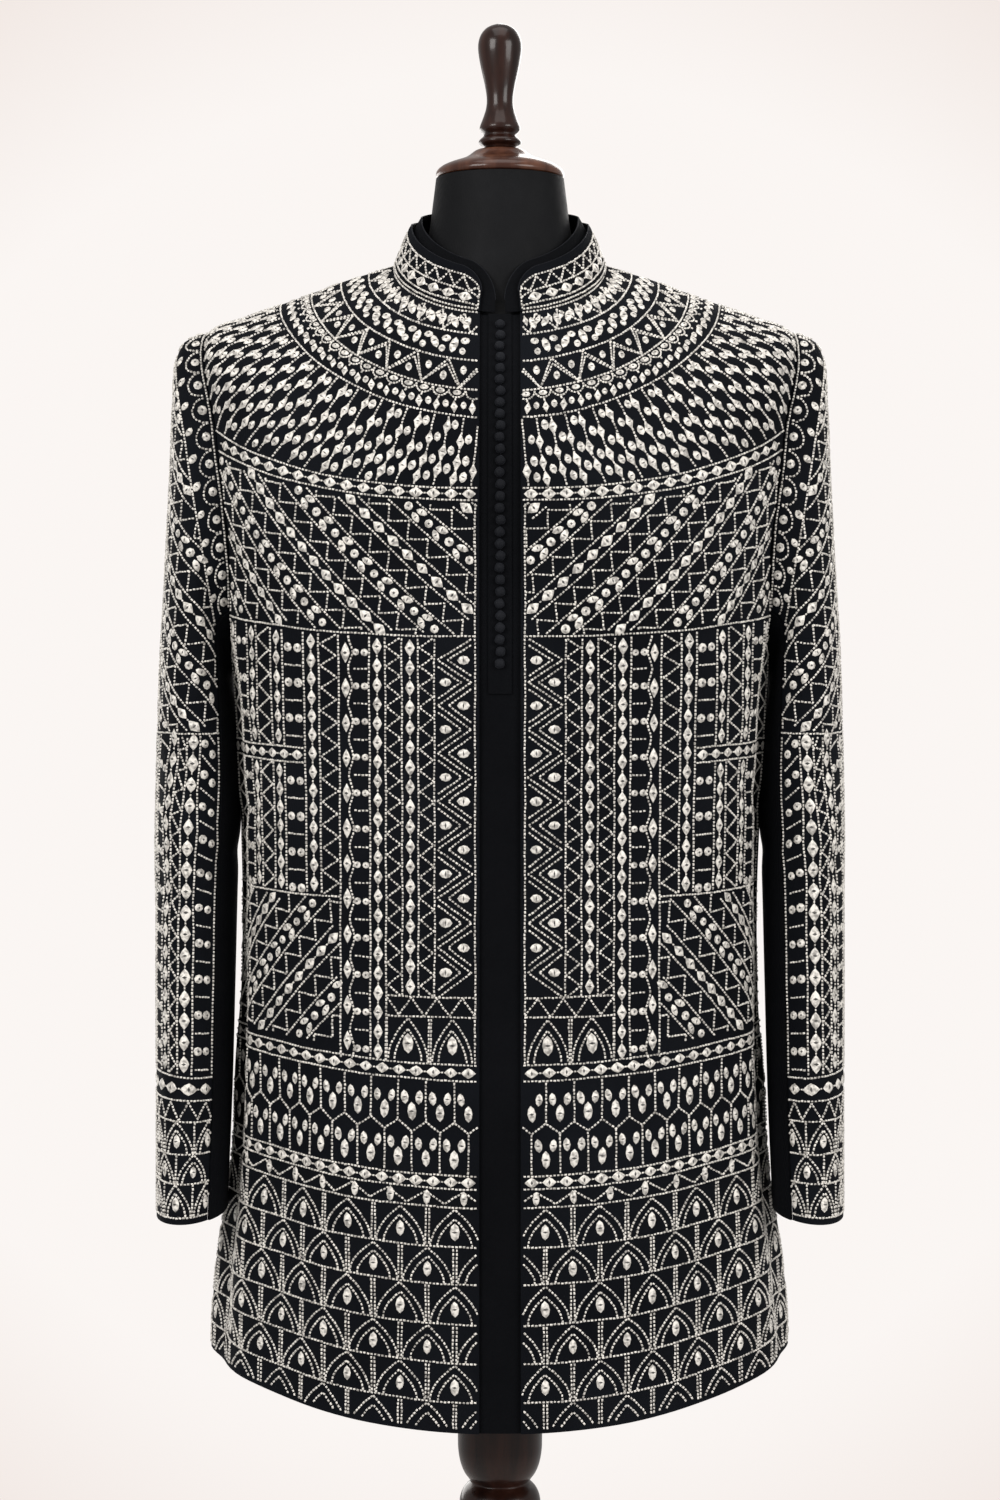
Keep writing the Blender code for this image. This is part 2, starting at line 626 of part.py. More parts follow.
def make_stand():
    turned("finial", FINIAL, TURNED_SIDES, "dark_wood")
    turned("neck_cap", NECK_CAP, TURNED_SIDES, "cap_wood")
    turned("stand_column", COLUMN, TURNED_SIDES, "dark_wood")
    turned("stand_base", BASE, BASE_SIDES, "dark_wood")


def main():
    clear_scene()
    make_body_panels()
    make_centre_panel()
    make_buttons()
    make_collars()
    make_sleeves()
    make_form()
    make_stand()


main()
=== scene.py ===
"""Looks of the indo-western jacket on its limbless dress form.

Metres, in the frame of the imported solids: the front faces -Y and the wearer's left is +X.
The jacket's surface is read through two coordinates in metres. On the body s runs round from centre
front and t runs down from the neck seam. On a sleeve s runs round from the front seam and t runs down
from the armhole. On the collar s runs round from centre front and t runs up from the neck seam.
"""

import math
from collections import namedtuple

import bmesh
import bpy
import numpy as np
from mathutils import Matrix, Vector


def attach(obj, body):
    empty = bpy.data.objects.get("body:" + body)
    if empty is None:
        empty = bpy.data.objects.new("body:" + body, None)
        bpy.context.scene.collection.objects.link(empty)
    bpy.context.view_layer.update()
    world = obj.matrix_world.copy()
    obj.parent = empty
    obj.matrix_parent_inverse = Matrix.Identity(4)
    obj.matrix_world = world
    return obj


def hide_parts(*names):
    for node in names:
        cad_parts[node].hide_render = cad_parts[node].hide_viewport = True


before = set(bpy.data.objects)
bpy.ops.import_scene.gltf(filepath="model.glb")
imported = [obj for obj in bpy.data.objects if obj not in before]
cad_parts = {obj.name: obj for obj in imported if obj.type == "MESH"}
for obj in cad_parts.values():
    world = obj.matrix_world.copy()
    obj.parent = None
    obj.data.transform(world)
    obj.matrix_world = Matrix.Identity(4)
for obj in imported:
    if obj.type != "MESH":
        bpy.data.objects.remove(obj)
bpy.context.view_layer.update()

# Cloth and clearances, as the solids have them
CLOTH = 0.0020
INNER_CLOTH = 0.0015
SEAM_GAP = 0.0003
LAYER_GAP = 0.0008
FRONT_OPENING = 0.0300
PANEL_HALF_WIDTH = 0.034
PLACKET_HALF_WIDTH = 0.0085
PLACKET_THICKNESS = 0.0010
PLACKET_END_HEIGHT = 1.131
BUTTON_COUNT = 30
BUTTON_TOP_HEIGHT = 1.4035
BUTTON_LOW_HEIGHT = 1.1530
BUTTON_WIDTH = 0.0074
BUTTON_RISE = 0.0042
COLLAR_CENTRE_Y = -0.004
COLLAR_BACK_Y = 0.070
ARMHOLE_HALF_DEPTH = 0.062
UNDER_SLEEVE_START = math.radians(132)
HEAD_RINGS = 4
CAP_TOP = 1.402
CAP_FOOT = 1.100
CAP_EDGE = 0.0245
FORM_FOOT_HEIGHT = 0.760
DENSE = 181

Collar = namedtuple(
    "Collar", "name cloth height front_lean back_lean inset front_gap corner corner_height")
COLLARS = [
    Collar("collar", CLOTH, 0.0330, 0.83, 0.90, -0.0010, FRONT_OPENING, 0.022, 0.46),
    Collar("inner_collar", INNER_CLOTH, 0.0385, 0.76, 0.86, 0.0016, 0.0080, 0.030, 0.25),
]

Ring = namedtuple("Ring", "name side_x side_z front_y front_z back_y back_z fullness drop")
BODY_RINGS = [
    Ring("neck", 0.0805, 1.4580, -0.0780, 1.4130, 0.0700, 1.4680, 2.10, 1.00),
    Ring("yoke_a", 0.1180, 1.4465, -0.0950, 1.3920, 0.0900, 1.4450, 2.15, 1.10),
    Ring("yoke_b", 0.1570, 1.4320, -0.1100, 1.3660, 0.1060, 1.4180, 2.25, 1.25),
    Ring("yoke_c", 0.1960, 1.4180, -0.1220, 1.3370, 0.1170, 1.3880, 2.35, 1.40),
    Ring("shoulder", 0.2225, 1.4060, -0.1300, 1.3100, 0.1240, 1.3560, 2.50, 1.50),
    Ring("band", 0.2220, 1.3350, -0.1360, 1.2780, 0.1270, 1.3050, 2.60, 1.50),
    Ring("chest", 0.2115, 1.2350, -0.1390, 1.2050, 0.1260, 1.2150, 2.55, 1.50),
    Ring("armpit", 0.2045, 1.1500, -0.1380, 1.1400, 0.1180, 1.1430, 2.45, 1.50),
    Ring("ribs", 0.2005, 1.0950, -0.1340, 1.0880, 0.1080, 1.0880, 2.35, 1.50),
    Ring("waist", 0.1965, 1.0050, -0.1300, 1.0000, 0.0990, 1.0000, 2.25, 1.60),
    Ring("hip", 0.1970, 0.8800, -0.1360, 0.8720, 0.1120, 0.8740, 2.20, 1.80),
    Ring("seat", 0.2020, 0.7800, -0.1450, 0.7670, 0.1280, 0.7730, 2.15, 2.00),
    Ring("skirt", 0.2140, 0.6920, -0.1510, 0.6720, 0.1370, 0.6840, 2.10, 2.40),
    Ring("hem", 0.2195, 0.6316, -0.1550, 0.6018, 0.1420, 0.6210, 2.10, 2.10),
]
FORM_NECK = [
    Ring("neck_top", 0.0492, 1.5243, -0.0492, 1.5243, 0.0472, 1.5243, 2.00, 1.50),
    Ring("neck_high", 0.0515, 1.5060, -0.0525, 1.5010, 0.0508, 1.5050, 2.00, 1.50),
    Ring("neck_low", 0.0548, 1.4830, -0.0565, 1.4600, 0.0545, 1.4830, 2.00, 1.30),
    Ring("neck_base", 0.0590, 1.4690, -0.0595, 1.4360, 0.0575, 1.4730, 2.00, 1.10),
    Ring("neck_root", 0.0660, 1.4612, -0.0640, 1.4190, 0.0615, 1.4665, 2.05, 1.00),
]
Ease = namedtuple("Ease", "ring below seam centre")
FORM_EASES = [
    Ease("neck", 0.000, 0.0005, 0.0050),
    Ease("shoulder", 0.000, 0.0005, 0.0065),
    Ease("shoulder", 0.005, 0.0040, 0.0070),
    Ease("band", 0.000, 0.0060, 0.0070),
    Ease("armpit", 0.000, 0.0080, 0.0080),
    Ease("waist", 0.000, 0.0100, 0.0100),
    Ease("hip", 0.000, 0.0120, 0.0120),
    Ease("skirt", 0.000, 0.0180, 0.0220),
]
Cuff = namedtuple("Cuff", "out_x out_z in_x in_z half_depth middle_y")
SLEEVE_RINGS = [
    Cuff(0.2225, 1.4060, 0.2045, 1.1500, 0.0620, 0.0000),
    Cuff(0.2325, 1.4040, 0.2073, 1.1460, 0.0650, 0.0000),
    Cuff(0.2415, 1.3990, 0.2085, 1.1415, 0.0672, 0.0005),
    Cuff(0.2468, 1.3880, 0.2080, 1.1360, 0.0685, 0.0010),
    Cuff(0.2498, 1.3560, 0.2064, 1.1260, 0.0695, 0.0015),
    Cuff(0.2523, 1.3000, 0.2040, 1.1090, 0.0700, 0.0020),
    Cuff(0.2562, 1.2250, 0.2022, 1.0860, 0.0695, 0.0025),
    Cuff(0.2600, 1.1250, 0.2006, 1.0480, 0.0680, 0.0020),
    Cuff(0.2620, 1.0250, 0.2030, 0.9930, 0.0660, -0.0020),
    Cuff(0.2614, 0.9250, 0.2042, 0.9120, 0.0635, -0.0120),
    Cuff(0.2592, 0.8250, 0.2052, 0.8220, 0.0605, -0.0280),
    Cuff(0.2572, 0.7400, 0.2072, 0.7420, 0.0580, -0.0450),
]

Turn = namedtuple("Turn", "radius height")
FINIAL = [
    Turn(0.0000, 1.6443), Turn(0.0092, 1.6417), Turn(0.0142, 1.6369), Turn(0.0166, 1.6308),
    Turn(0.0170, 1.6246), Turn(0.0160, 1.6169), Turn(0.0142, 1.6077), Turn(0.0116, 1.5969),
    Turn(0.0099, 1.5862), Turn(0.0106, 1.5785), Turn(0.0132, 1.5708), Turn(0.0157, 1.5646),
    Turn(0.0156, 1.5619), Turn(0.0124, 1.5590), Turn(0.0124, 1.5572), Turn(0.0163, 1.5540),
    Turn(0.0165, 1.5515), Turn(0.0125, 1.5496), Turn(0.0120, 1.5473), Turn(0.0000, 1.5473),
]
NECK_CAP = [
    Turn(0.0000, 1.5470), Turn(0.0165, 1.5470), Turn(0.0200, 1.5455), Turn(0.0235, 1.5425),
    Turn(0.0275, 1.5400), Turn(0.0330, 1.5380), Turn(0.0400, 1.5357), Turn(0.0455, 1.5332),
    Turn(0.0486, 1.5304), Turn(0.0495, 1.5276), Turn(0.0488, 1.5256), Turn(0.0470, 1.5246),
    Turn(0.0000, 1.5246),
]
COLUMN = [
    Turn(0.0000, 0.7597), Turn(0.0327, 0.7597), Turn(0.0327, 0.5560), Turn(0.0318, 0.5430),
    Turn(0.0285, 0.5320), Turn(0.0230, 0.5250), Turn(0.0226, 0.5235), Turn(0.0280, 0.5185),
    Turn(0.0308, 0.5120), Turn(0.0312, 0.5060), Turn(0.0296, 0.4990), Turn(0.0230, 0.4930),
    Turn(0.0200, 0.4880), Turn(0.0215, 0.4400), Turn(0.0262, 0.3600), Turn(0.0285, 0.2800),
    Turn(0.0262, 0.2000), Turn(0.0205, 0.1300), Turn(0.0200, 0.1150), Turn(0.0290, 0.1060),
    Turn(0.0330, 0.0960), Turn(0.0330, 0.0860), Turn(0.0300, 0.0763), Turn(0.0000, 0.0763),
]
BASE = [
    Turn(0.0000, 0.0760), Turn(0.0420, 0.0760), Turn(0.0520, 0.0700), Turn(0.0620, 0.0560),
    Turn(0.0900, 0.0430), Turn(0.1500, 0.0350), Turn(0.1900, 0.0290), Turn(0.2020, 0.0210),
    Turn(0.2050, 0.0120), Turn(0.2020, 0.0000), Turn(0.0000, 0.0000),
]
TURNED_SIDES = 64
PIPING_RADIUS = 0.00050
PIPING_SIDES = 6

# A small bead is given by half length, half width and rise. SINK is the share of its rise that any
# bead goes into the cloth.
BEAD_PITCH = 0.0027
BEAD = (0.00100, 0.00080, 0.0008)
LEAF_RISE = 0.0009
SINK = 0.25


# Shapes shared by all the surfaces

def smooth_rows(knots, rows, at):
    """Rows of numbers read from a smooth curve through the given rows, at one or more places."""
    knots = np.asarray(knots, float)
    rows = np.asarray(rows, float)
    slopes = np.gradient(rows, knots, axis=0)
    at = np.atleast_1d(np.asarray(at, float))
    i = np.clip(np.searchsorted(knots, at, side="right") - 1, 0, len(knots) - 2)
    span = (knots[i + 1] - knots[i])[:, None]
    t = (at[:, None] - knots[i][:, None]) / span
    start = (1 + 2 * t) * (1 - t) ** 2 * rows[i] + t * (1 - t) ** 2 * span * slopes[i]
    end = t * t * (3 - 2 * t) * rows[i + 1] + t * t * (t - 1) * span * slopes[i + 1]
    return start + end


def path_lengths(points):
    steps = np.linalg.norm(np.diff(points, axis=0), axis=1)
    return np.concatenate([[0.0], np.cumsum(steps)])


def units(vectors):
    return vectors / np.maximum(np.linalg.norm(vectors, axis=-1, keepdims=True), 1e-12)


def eased(x):
    x = np.clip(x, 0.0, 1.0)
    return x * x * (3 - 2 * x)


def mirrored(points):
    return points * np.array([-1.0, 1.0, 1.0])


def half_ring_points(values):
    side_x, side_z, front_y, front_z, back_y, back_z, fullness, drop = values
    turn = np.linspace(0.0, math.pi, DENSE)
    across = np.sin(turn).clip(0.0) ** (2 / fullness)
    along = np.abs(np.cos(turn)) ** (2 / fullness)
    rise = np.abs(np.cos(turn)) ** drop
    ahead = turn < math.pi / 2
    x = side_x * across
    y = np.where(ahead, front_y, back_y) * along
    z = side_z + (np.where(ahead, front_z, back_z) - side_z) * rise
    return np.column_stack([x, y, z])


class RingLoft:
    """The worn body through its table of rings. A level is the mean of the side and front lengths."""

    def __init__(self, rings):
        self.values = np.array([ring[1:] for ring in rings])
        side = path_lengths(self.values[:, [0, 1]])
        front = path_lengths(self.values[:, [2, 3]])
        self.knots = (side + front) / 2
        self.levels = {ring.name: level for ring, level in zip(rings, self.knots)}

    def half_ring(self, level):
        return half_ring_points(smooth_rows(self.knots, self.values, level)[0])

    def at(self, level, arcs):
        points = self.half_ring(level)
        lengths = path_lengths(points)
        folded = np.abs(arcs)
        past = folded > lengths[-1]
        folded = np.where(past, 2 * lengths[-1] - folded, folded)
        side = np.where((arcs < 0) != past, -1.0, 1.0)
        found = np.column_stack([np.interp(folded, lengths, points[:, k]) for k in range(3)])
        found[:, 0] *= side
        return found

    def side_arc(self, level):
        points = self.half_ring(level)
        return float(np.interp(0.0, points[:, 1], path_lengths(points)))

    def whole_arc(self, level):
        return float(path_lengths(self.half_ring(level))[-1])

    def arc_at_x(self, level, x):
        points = self.half_ring(level)[: DENSE // 2]
        return float(np.interp(x, points[:, 0], path_lengths(points)))

    def level_at_front_height(self, height):
        steps = np.linspace(self.knots[0], self.knots[-1], 400)
        heights = smooth_rows(self.knots, self.values, steps)[:, 3]
        return float(np.interp(-height, -heights, steps))


BODY = RingLoft(BODY_RINGS)
NECK, SHOULDER, ARMPIT, HEM = (BODY.levels[k] for k in ("neck", "shoulder", "armpit", "hem"))
ARMHOLE_TOP = BODY_RINGS[4].side_z
ARMHOLE_FOOT = BODY_RINGS[7].side_z


def armhole_share(points):
    middle = (ARMHOLE_TOP + ARMHOLE_FOOT) / 2
    half_height = (ARMHOLE_TOP - ARMHOLE_FOOT) / 2
    return (points[:, 1] / ARMHOLE_HALF_DEPTH) ** 2 + ((points[:, 2] - middle) / half_height) ** 2


def panel_edges(level):
    """Where the front panel ends and the back panel starts on the ring: seam or armhole."""
    points = BODY.half_ring(level)
    lengths = path_lengths(points)
    share = armhole_share(points)
    seam = BODY.side_arc(level)
    inside = share < 1
    if not inside.any() or not SHOULDER < level < ARMPIT:
        return seam - SEAM_GAP / 2, seam + SEAM_GAP / 2
    first, last = np.flatnonzero(inside)[[0, -1]]
    front = np.interp(1.0, share[[first, first - 1]], lengths[[first, first - 1]])
    back = np.interp(1.0, share[[last, last + 1]], lengths[[last, last + 1]])
    return min(front, seam - SEAM_GAP / 2), max(back, seam + SEAM_GAP / 2)


def cloth_levels(yoke, armhole, skirt):
    turn = np.linspace(0, math.pi, armhole + 1)[1:-1]
    return np.concatenate([
        np.linspace(NECK, SHOULDER, yoke + 1),
        SHOULDER + (ARMPIT - SHOULDER) * (1 - np.cos(turn)) / 2,
        np.linspace(ARMPIT, HEM, skirt + 1),
    ])


EDGE_LEVELS = cloth_levels(40, 120, 120)
FRONT_STARTS = np.array([BODY.arc_at_x(level, FRONT_OPENING / 2) for level in EDGE_LEVELS])
FRONT_ENDS, BACK_STARTS = np.array([panel_edges(level) for level in EDGE_LEVELS]).T
SIDE_ARCS = np.array([BODY.side_arc(level) for level in EDGE_LEVELS])
WHOLE_ARCS = np.array([BODY.whole_arc(level) for level in EDGE_LEVELS])


def read_edge(values, t):
    return np.interp(t, EDGE_LEVELS, values)


class Field:
    """A surface as a grid of points over its s and t, read between them."""

    def __init__(self, s, t, points):
        self.s, self.t = s, t
        self.settle(points)

    def settle(self, points):
        self.points = points
        self.along_s = np.gradient(points, self.s, axis=1)
        self.along_t = np.gradient(points, self.t, axis=0)
        self.normals = units(np.cross(self.along_t, self.along_s))

    def crease(self, creases, fade):
        """Moves the surface out along soft ridges and in along soft troughs."""
        s, t = np.meshgrid(self.s, self.t)
        push = np.zeros(s.shape)
        for crease in creases:
            push += crease_push(crease, s, t)
        self.settle(self.points + self.normals * (push * fade(s, t))[..., None])

    def read(self, grid, s, t):
        s, t = np.broadcast_arrays(np.asarray(s, float), np.asarray(t, float))
        across = np.clip((s - self.s[0]) / (self.s[1] - self.s[0]), 0, len(self.s) - 1.001)
        down = np.clip((t - self.t[0]) / (self.t[1] - self.t[0]), 0, len(self.t) - 1.001)
        j, i = across.astype(int), down.astype(int)
        u, v = (across - j)[..., None], (down - i)[..., None]
        top = grid[i, j] * (1 - u) + grid[i, j + 1] * u
        low = grid[i + 1, j] * (1 - u) + grid[i + 1, j + 1] * u
        return top * (1 - v) + low * v

    def at(self, s, t):
        return self.read(self.points, s, t)

    def normal(self, s, t):
        return units(self.read(self.normals, s, t))


# A crease lies along a line from one place on the surface to another. It is a ridge where its
# height is above 0 and a trough where it is below.
Crease = namedtuple("Crease", "s0 t0 s1 t1 width height")


def crease_push(crease, s, t):
    run = np.array([crease.s1 - crease.s0, crease.t1 - crease.t0])
    length = np.linalg.norm(run)
    along = ((s - crease.s0) * run[0] + (t - crease.t0) * run[1]) / length ** 2
    off = ((s - crease.s0) * run[1] - (t - crease.t0) * run[0]) / length
    ends = eased((along + 0.18) / 0.36) * eased((1.18 - along) / 0.36)
    return crease.height * np.exp(-(off / crease.width) ** 2) * ends


LEFT_CREASES = [
    Crease(0.236, 0.340, 0.250, 0.560, 0.012, -0.0035),
    Crease(0.262, 0.380, 0.282, 0.700, 0.016, 0.0026),
    Crease(0.205, 0.560, 0.222, 0.877, 0.020, 0.0030),
    Crease(0.245, 0.600, 0.262, 0.877, 0.015, -0.0042),
    Crease(0.278, 0.640, 0.300, 0.877, 0.017, 0.0036),
    Crease(0.150, 0.640, 0.152, 0.877, 0.024, -0.0022),
    Crease(0.092, 0.680, 0.088, 0.877, 0.024, 0.0016),
    Crease(0.225, 0.255, 0.165, 0.330, 0.014, -0.0022),
    Crease(0.240, 0.300, 0.190, 0.400, 0.012, 0.0016),
    Crease(0.200, 0.430, 0.262, 0.455, 0.012, -0.0016),
    Crease(0.350, 0.360, 0.372, 0.640, 0.022, -0.0034),
    Crease(0.400, 0.300, 0.430, 0.560, 0.026, 0.0030),
    Crease(0.350, 0.600, 0.358, 0.877, 0.022, -0.0040),
    Crease(0.415, 0.620, 0.428, 0.877, 0.024, 0.0034),
    Crease(0.480, 0.560, 0.496, 0.877, 0.022, -0.0034),
    Crease(0.440, 0.440, 0.560, 0.470, 0.016, -0.0022),
    Crease(0.420, 0.480, 0.540, 0.520, 0.016, 0.0018),
]
RIGHT_CREASES = [
    Crease(0.240, 0.355, 0.246, 0.540, 0.013, -0.0032),
    Crease(0.258, 0.400, 0.276, 0.690, 0.015, 0.0024),
    Crease(0.212, 0.590, 0.216, 0.877, 0.018, 0.0032),
    Crease(0.240, 0.580, 0.252, 0.877, 0.014, -0.0046),
    Crease(0.272, 0.620, 0.286, 0.877, 0.015, 0.0038),
    Crease(0.165, 0.620, 0.170, 0.877, 0.022, -0.0024),
    Crease(0.110, 0.690, 0.106, 0.877, 0.022, 0.0014),
    Crease(0.222, 0.245, 0.170, 0.310, 0.013, -0.0020),
    Crease(0.236, 0.310, 0.196, 0.390, 0.012, 0.0018),
    Crease(0.205, 0.445, 0.262, 0.462, 0.011, -0.0018),
    Crease(0.344, 0.350, 0.362, 0.620, 0.020, -0.0030),
    Crease(0.395, 0.320, 0.418, 0.580, 0.024, 0.0028),
    Crease(0.345, 0.620, 0.350, 0.877, 0.020, -0.0042),
    Crease(0.405, 0.600, 0.412, 0.877, 0.024, 0.0036),
    Crease(0.470, 0.590, 0.480, 0.877, 0.024, -0.0030),
    Crease(0.450, 0.452, 0.550, 0.486, 0.015, -0.0020),
]


def body_fade(s, t):
    """Creases die out at centre front, over the yoke and towards the armholes."""
    near_front = eased((s - 0.040) / 0.050)
    below_yoke = eased((t - 0.215) / 0.090)
    return near_front * below_yoke


def body_field(creases):
    s = np.linspace(-0.040, 0.640, 341)
    t = np.linspace(0.0, HEM, 340)
    field = Field(s, t, np.array([BODY.at(level, s) for level in t]))
    field.crease(creases, body_fade)
    return field


def armhole_points(turns):
    """The armhole's edge on the body's side, at turns from its top to the front."""
    middle = (ARMHOLE_TOP + ARMHOLE_FOOT) / 2
    found = []
    for turn in turns:
        y = -ARMHOLE_HALF_DEPTH * math.sin(turn)
        z = middle + (ARMHOLE_TOP - ARMHOLE_FOOT) / 2 * math.cos(turn)
        high, low = BODY.levels["yoke_b"], BODY.levels["ribs"]
        for _ in range(26):
            level = (high + low) / 2
            ring = BODY.half_ring(level)
            if np.interp(y, ring[:, 1], ring[:, 2]) > z:
                high = level
            else:
                low = level
        found.append([np.interp(y, ring[:, 1], ring[:, 0]), y, z])
    return np.array(found)


SLEEVE_VALUES = np.array(SLEEVE_RINGS)
SLEEVE_KNOTS = (path_lengths(SLEEVE_VALUES[:, [0, 1]]) + path_lengths(SLEEVE_VALUES[:, [2, 3]])) / 2
CUFF = SLEEVE_KNOTS[-1]
SLEEVE_GIRTH = 0.215


def sleeve_oval(place, turns):
    out_x, out_z, in_x, in_z, half_depth, middle_y = smooth_rows(
        SLEEVE_KNOTS, SLEEVE_VALUES, place)[0]
    swing = np.cos(turns)
    x = (out_x + in_x) / 2 + (out_x - in_x) / 2 * swing
    z = (out_z + in_z) / 2 + (out_z - in_z) / 2 * swing
    return np.column_stack([x, middle_y - half_depth * np.sin(turns), z])


def sleeve_field(first_turn, last_turn, creases):
    """A stretch of the left sleeve. Its s spans the nominal girth at every place along the sleeve."""
    turns = np.linspace(first_turn, last_turn, 241)
    drift = armhole_points(turns) - sleeve_oval(0.0, turns)
    s = np.linspace(0.0, SLEEVE_GIRTH, 121)
    t = np.linspace(0.0, CUFF, 274)
    rows = []
    for place in t:
        fade = max(0.0, 1 - place / SLEEVE_KNOTS[HEAD_RINGS]) ** 2
        ring = sleeve_oval(place, turns) + drift * fade + np.array([2 * SEAM_GAP, 0, 0])
        lengths = path_lengths(ring)
        wanted = s / SLEEVE_GIRTH * lengths[-1]
        rows.append(np.column_stack([np.interp(wanted, lengths, ring[:, k]) for k in range(3)]))
    field = Field(s, t, np.array(rows))
    field.crease(creases, lambda s, t: eased((t - 0.05) / 0.06) * eased((CUFF - t) / 0.03 + 0.3))
    return field


def cap_field(field):
    """The upper sleeve in level slices: s runs round from the outermost line, and t down from the top.

    Each of its places also keeps its t on the sleeve itself, and each slice how far it reaches round.
    """
    s = np.linspace(-0.130, 0.130, 131)
    t = np.linspace(0.0, CAP_TOP - CAP_FOOT + 0.004, 150)
    middle = len(field.s) // 2
    columns = field.points.transpose(1, 0, 2)
    points, places, reaches = [], [], []
    for height in CAP_TOP - t:
        at = np.array([np.interp(-height, -column[:, 2], field.t) for column in columns])
        ring = np.array([[np.interp(a, field.t, column[:, k]) for k in range(3)]
                         for a, column in zip(at, columns)])
        lengths = path_lengths(ring)
        lengths = lengths - lengths[middle]
        there = np.flatnonzero(columns[:, 0, 2] >= height - 1e-6)
        reaches.append(lengths[there[[0, -1]]])
        points.append(np.column_stack([np.interp(s, lengths, ring[:, k]) for k in range(3)]))
        places.append(np.interp(s, lengths, at))
    cap = Field(s, t, np.array(points))
    cap.places = np.array(places)[..., None]
    cap.reaches = np.array(reaches)
    return cap


# Meshes

def new_object(name, mesh, materials):
    made = bpy.data.objects.new(name, mesh)
    bpy.context.scene.collection.objects.link(made)
    for material in materials:
        mesh.materials.append(material)
    return made


def mesh_of(name, points, faces, slots=None):
    """A mesh from arrays. Faces all have the same number of corners."""
    points = np.ascontiguousarray(points, np.float32)
    faces = np.ascontiguousarray(faces, np.int32)
    mesh = bpy.data.meshes.new(name)
    count, corners = faces.shape
    mesh.vertices.add(len(points))
    mesh.vertices.foreach_set("co", points.ravel())
    mesh.loops.add(count * corners)
    mesh.loops.foreach_set("vertex_index", faces.ravel())
    mesh.polygons.add(count)
    mesh.polygons.foreach_set("loop_start", np.arange(0, count * corners, corners, dtype=np.int32))
    if slots is not None:
        mesh.polygons.foreach_set("material_index", np.asarray(slots, np.int32))
    mesh.update(calc_edges=True)
    mesh.validate()
    mesh.shade_smooth()
    return mesh


def grid_faces(rows, columns, first=0):
    a = (np.arange(rows - 1)[:, None] * columns + np.arange(columns - 1)).ravel() + first
    return np.column_stack([a, a + columns, a + columns + 1, a + 1])


def shell(name, outer, inner, materials, flip=False):
    """A wall of cloth between two grids of points, its inner face in the second material."""
    rows, columns = outer.shape[:2]
    count = rows * columns
    faces = [grid_faces(rows, columns), grid_faces(rows, columns, count)[:, ::-1]]
    across = np.arange(columns)
    down = np.arange(rows) * columns
    edges = [across[::-1], down, (rows - 1) * columns + across, (down + columns - 1)[::-1]]
    for edge in edges:
        a, b = edge[:-1], edge[1:]
        faces.append(np.column_stack([a, a + count, b + count, b]))
    slots = np.zeros(sum(len(f) for f in faces), int)
    slots[len(faces[0]): len(faces[0]) + len(faces[1])] = 1
    faces = np.concatenate(faces)
    points = np.concatenate([outer.reshape(-1, 3), inner.reshape(-1, 3)])
    if flip:
        points, faces = mirrored(points), faces[:, ::-1]
    mesh = mesh_of(name, points, faces, slots)
    mesh.set_sharp_from_angle(angle=math.radians(50))
    made = new_object(name, mesh, materials)
    made["flat_area"] = grid_area(outer)
    return made


def grid_area(grid):
    a = grid[1:, :-1] - grid[:-1, :-1]
    b = grid[:-1, 1:] - grid[:-1, :-1]
    return float(np.linalg.norm(np.cross(a, b), axis=2).sum())


def field_grids(field, s, t, depths):
    return [field.at(s, t) - field.normal(s, t) * depth for depth in depths]


# Beadwork

def outline_shape(outline, slit):
    """A low cut bead: an outline that rises to a crown, with a slit in the second material."""
    outline = np.array(outline, float)
    n = len(outline)
    base = np.column_stack([outline, np.full(n, -SINK)])
    shoulder = np.column_stack([outline * 0.80, np.full(n, 0.72)])
    length, width = slit
    crown = np.array([[length, 0, 1.0], [0, width, 1.0], [-length, 0, 1.0], [0, -width, 1.0]])
    points = np.concatenate([base, shoulder, crown])
    triangles = []
    for k in range(n):
        m = (k + 1) % n
        triangles += [(k, m, n + m), (k, n + m, n + k)]
    quarter = n // 4
    for q in range(4):
        mine, following = 2 * n + q, 2 * n + (q + 1) % 4
        for k in range(q * quarter, (q + 1) * quarter):
            nearer = mine if k - q * quarter < quarter / 2 else following
            triangles.append((n + k, n + (k + 1) % n, nearer))
        turn_at = q * quarter + (quarter + 1) // 2
        triangles.append((n + turn_at % n, following, mine))
    slots = [0] * len(triangles)
    triangles += [(2 * n, 2 * n + 1, 2 * n + 2), (2 * n, 2 * n + 2, 2 * n + 3)]
    slots += [1, 1]
    return points, np.array(triangles), np.array(slots)


def ring_outline(knee_x, knee_y):
    """Eight points round an outline with its tips on the long axis."""
    return [(1, 0), (knee_x, knee_y), (0, 1), (-knee_x, knee_y),
            (-1, 0), (-knee_x, -knee_y), (0, -1), (knee_x, -knee_y)]


def seed_shape():
    """A small cut bead, narrower at the top. Its underside is in the cloth, and is left open."""
    foot = np.array([(1, 0.85), (-1, 0.85), (-1, -0.85), (1, -0.85)])
    points = np.concatenate([np.column_stack([foot, np.full(4, -SINK)]),
                             np.column_stack([foot * (0.70, 0.72), np.full(4, 1.0)])])
    triangles = [(4, 5, 6), (4, 6, 7)]
    for k in range(4):
        m = (k + 1) % 4
        triangles += [(k, m, 4 + m), (k, 4 + m, 4 + k)]
    return points, np.array(triangles), np.zeros(len(triangles), int)


